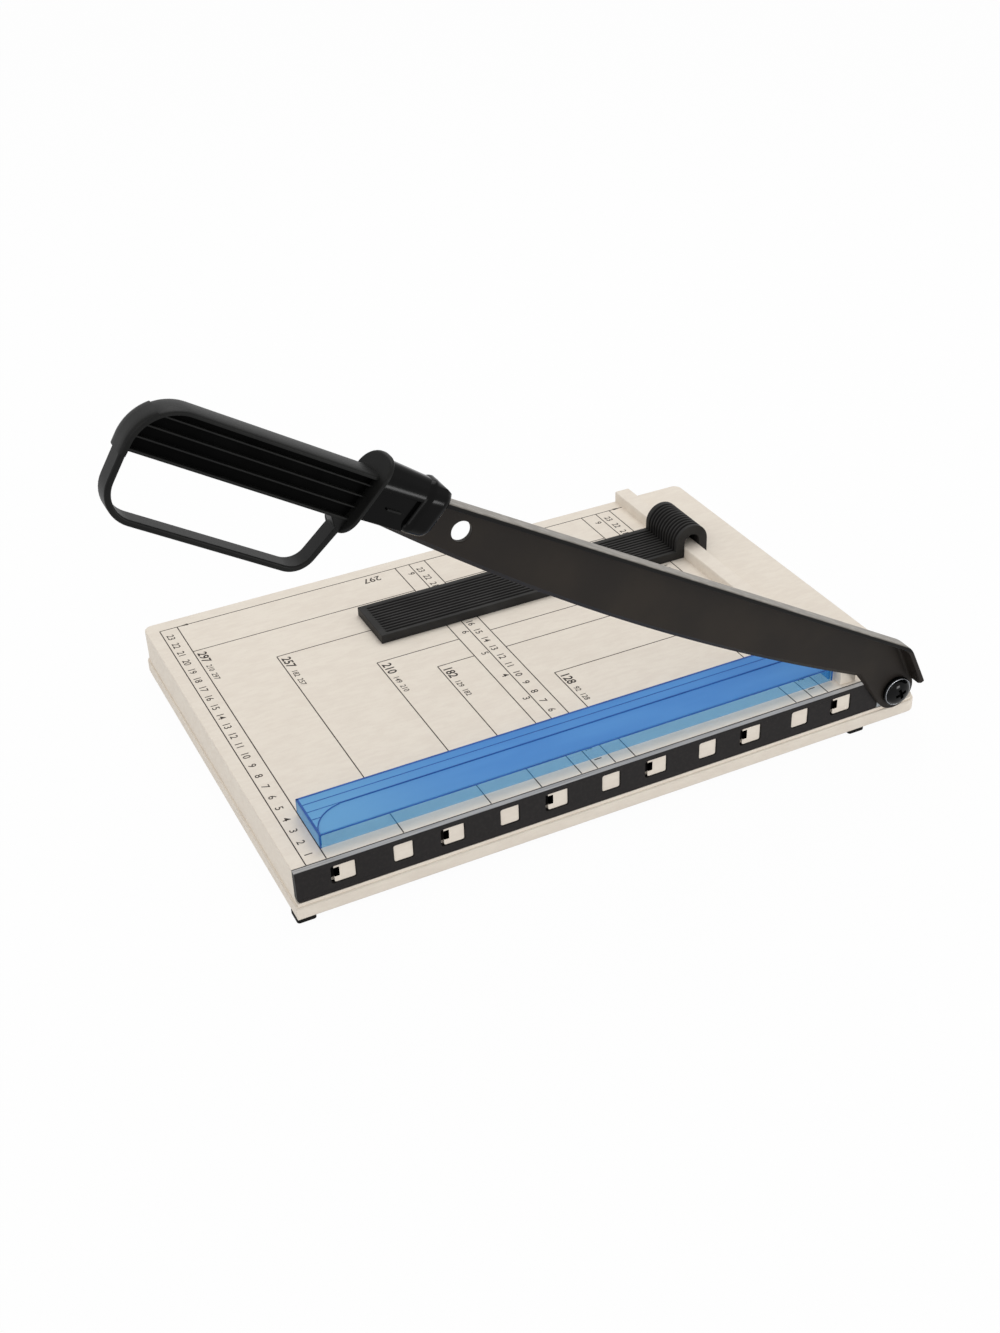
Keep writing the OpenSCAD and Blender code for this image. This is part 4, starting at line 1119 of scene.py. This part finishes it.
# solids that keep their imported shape
plainSteel = {
    "tray_screws": "zinc", "fixed_blade_screws": "zinc", "fence_screws": "zinc",
    "bracket_screws": "zinc", "handle_screws": "zinc", "pivot_nut": "zinc",
    "pivot_washer": "bolt", "pivot_spring_washers": "steel", "press_pins": "steel",
}
for node, finish in plainSteel.items():
    nodes[node].data.materials.clear()
    nodes[node].data.materials.append(finishes[finish])
print("pivot built")


# Faces of the deck's hooks and lugs in the strip's windows, and the strip's hook tongue beside each
# hook, painted near-black as painted shade of the slot

window = {
    "first": -290.7, "pitch": 57.4, "hooks": 6, "lugStep": 31.2, "lug": (-5, 5),
    "hook": (-4.7, 6.2), "z": (-12.75, -2.7), "r": 1, "notchX": -2.05, "notchZ": (-9.3, -4.3),
    "notchR": 0.2, "tongueX": -6.4, "tuck": 0.3, "y": (0.7, 2.75), "tongueY": (1.1, 2.8),
    "soft": 0.2, "tongueSoft": 0.15,
}
faceShape = bmesh.new()
tongueShape = bmesh.new()
low, high = window["z"]
notchLow, notchHigh = window["notchZ"]
r, notchR, tuck = window["r"], window["notchR"], window["tuck"]
for count in range(window["hooks"]):
    x = window["first"] + count * window["pitch"]
    left, right, step = x + window["hook"][0], x + window["hook"][1], x + window["notchX"]
    hook = [(left, low, r), (right, low, r), (right, high, r), (left, high, r)]
    notch = ((left, notchHigh), (step, notchHigh), (step, notchLow), (left, notchLow))
    outline = rounded(hook + [(*p, notchR) for p in notch], 4)
    prism(faceShape, outline, *window["y"], alongY, window["soft"])
    tongue = rectangle(x + window["tongueX"], step + tuck, notchLow - tuck, notchHigh + tuck)
    prism(tongueShape, tongue, *window["tongueY"], alongY, window["tongueSoft"])
    if count < window["hooks"] - 1:
        lug = x + window["lugStep"]
        outline = rectangle(lug + window["lug"][0], lug + window["lug"][1], low, high, r)
        prism(faceShape, outline, *window["y"], alongY, window["soft"])
settle(faceShape, "window_faces", "cream", "base")
settle(tongueShape, "strip_tongues", "tongue", "base")
print("window faces and tongues set")


# Print on the board

rules = {
    "line": 0.6, "thick": 0.04, "soft": 0.01, "front": 4.3, "back": 240.6, "end": -0.4,
    "sizes": [(-297.2, 210.5), (-257.2, 182), (-210.2, 148.6), (-182.2, 128.6), (-128.5, 91.8)],
    "outer": (-307.6, -297.2), "middle": (-159.5, -150.3, -139.9), "right": (-30, -19.6, -9.7),
    "arrowHalf": 0.9, "arrowThick": 0.06, "arrows": ((-296.9, -290.7), (-0.5, -6.7)),
}
lines = bmesh.new()


def ink(outline, high):
    prism(lines, outline, -rules["thick"], high, onBoard, rules["soft"], rounds=1)


def upright(x, y0, y1):
    ink(oblong(x - rules["line"] / 2, x + rules["line"] / 2, y0, y1), rules["thick"])


def level(y, x0, x1):
    ink(oblong(x0, x1, y - rules["line"] / 2, y + rules["line"] / 2), rules["thick"])


def arrow(tip, tail, y):
    wing = rules["arrowHalf"]
    ink([Vector(p) for p in ((tip, y), (tail, y - wing), (tail, y + wing))], rules["arrowThick"])


for x in rules["outer"] + rules["middle"] + rules["right"]:
    upright(x, rules["front"], rules["back"])
level(rules["back"], rules["outer"][0], rules["end"])
for tip, tail in rules["arrows"]:
    arrow(tip, tail, rules["back"])
for x, y in rules["sizes"]:
    if x > rules["outer"][1]:
        upright(x, rules["front"], y)
    if x < rules["middle"][0]:
        level(y, x, rules["middle"][0])
    level(y, max(x, rules["middle"][2]), rules["right"][0])
settle(lines, "board_lines", "ink", "base")

marks = {
    "digit": 4.3, "label": 5.4, "small": 3.4, "perDigit": 1.36, "shift": 1.2, "fromSide": -90,
    "cm": (10, 23, (-303.9, -146.6, -15.6)), "inch": (25.4, 9, (-153.4, -23.8)),
    "digitBold": 0.04, "labelBold": 0.14, "smallBold": 0.03, "longBold": 0.08,
    "labelAt": (3.7, 3), "smallAt": (3.4, 17.5), "longAt": (-177, 235),
}
digits = bmesh.new()


def stamp(words, x, y, size, turn, bold, align="CENTER"):
    letters = bpy.data.curves.new("mark", "FONT")
    letters.body = words
    letters.size = size * mm * marks["perDigit"]
    letters.align_x = align
    letters.align_y = "CENTER"
    letters.extrude = rules["thick"] * mm
    letters.offset = bold * mm
    letters.resolution_u = 3
    holder = link("mark", letters)
    flat = applied(holder)
    spin = Matrix.Rotation(math.radians(turn), 4, "Z")
    flat.transform(Matrix.Translation(onBoard(x, y, 0)) @ spin)
    digits.from_mesh(flat)
    bpy.data.meshes.remove(flat)
    bpy.data.objects.remove(holder)
    bpy.data.curves.remove(letters)


side = marks["fromSide"]
for unit, last, columns in (marks["cm"], marks["inch"]):
    for count in range(1, last + 1):
        y = count * unit + marks["shift"]
        for x in columns:
            stamp(str(count), x, y, marks["digit"], side, marks["digitBold"])
for x, y in rules["sizes"]:
    right, down = marks["labelAt"]
    long = str(round(-x))
    stamp(long, x + right, y - down, marks["label"], side, marks["labelBold"], "LEFT")
    right, down = marks["smallAt"]
    both = f"{round(y)}  {long}"
    stamp(both, x + right, y - down, marks["small"], side, marks["smallBold"], "LEFT")
longest = str(round(-rules["outer"][1]))
stamp(longest, *marks["longAt"], marks["label"], 180, marks["longBold"])
settle(digits, "board_numbers", "ink", "base")
print("board printed")


# Stage, light and camera

stageLook = {"size": 6, "glow": 0.97, "floor": tint(226, 226, 226), "world": 0.62}


def backdropSeen(f):
    rays = ("Is Camera Ray", "Is Glossy Ray", "Is Transmission Ray")
    straight, mirrored, through = [f.node("LightPath", {}, {}, ray) for ray in rays]
    either = f.node("Math", {"operation": "MAXIMUM"}, {0: straight, 1: mirrored})
    return f.node("Math", {"operation": "MAXIMUM"}, {0: either, 1: through})


def stageFloor():
    f = Finish("stage_floor")
    seen = backdropSeen(f)
    cloth = f.node("BsdfDiffuse", {}, {"Color": stageLook["floor"]})
    glow = f.node("Emission", {}, {"Color": (1, 1, 1, 1), "Strength": 1.0})
    return f.close(f.node("MixShader", {}, {0: seen * stageLook["glow"], 1: cloth, 2: glow}))


floorMesh = bpy.data.meshes.new("stage_floor")
span = stageLook["size"]
corners = [(-span, -span, 0), (span, -span, 0), (span, span, 0), (-span, span, 0)]
floorMesh.from_pydata(corners, [], [(0, 1, 2, 3)])
floorMesh.materials.append(stageFloor())
floor = link("stage_floor", floorMesh)

world = bpy.data.worlds.new("studio")
scene.world = world
sky = Finish("studio", world)
strength = stageLook["world"] + backdropSeen(sky) * (1 - stageLook["world"])
air = sky.node("Background", {}, {"Color": (1, 1, 1, 1), "Strength": strength})
sky.node("OutputWorld", {}, {0: air})

lamps = {
    "key": {"at": (0.35, 0.5, 1.3), "size": 0.9, "power": 6.4},
    "front": {"at": (-0.75, -0.75, 0.95), "size": 0.45, "power": 1.8},
    "low": {"at": (0.5, -1.12, 0.1), "size": 0.27, "power": 3.6},
    "side": {"at": (-1.35, -0.2, 0.25), "size": 0.7, "power": 2},
}
aim = Vector((0, 0, 0.05))
for name, lamp in lamps.items():
    light = bpy.data.lights.new(name, "AREA")
    light.shape = "SQUARE"
    light.size = lamp["size"]
    light.energy = lamp["power"]
    holder = link(name, light)
    holder.location = lamp["at"]
    holder.rotation_euler = (aim - holder.location).to_track_quat("-Z", "Y").to_euler()

shot = {
    "at": (-480.525, -584.358, 506.301),
    "right": (0.894902, -0.445163, -0.031318),
    "down": (-0.268254, -0.480525, -0.834947),
    "ahead": (0.356638, 0.755596, -0.549439),
    "lens": 45.018,
}
lensData = bpy.data.cameras.new("camera")
lensData.sensor_fit = "VERTICAL"
lensData.sensor_height = 36
lensData.lens = shot["lens"]
lensData.clip_start = 0.01
camera = link("camera", lensData)
turn = Matrix((shot["right"], -Vector(shot["down"]), -Vector(shot["ahead"]))).transposed().to_4x4()
camera.matrix_world = Matrix.Translation(onBoard(*shot["at"])) @ turn
scene.camera = camera
scene.view_settings.view_transform = "Standard"
print("stage set")
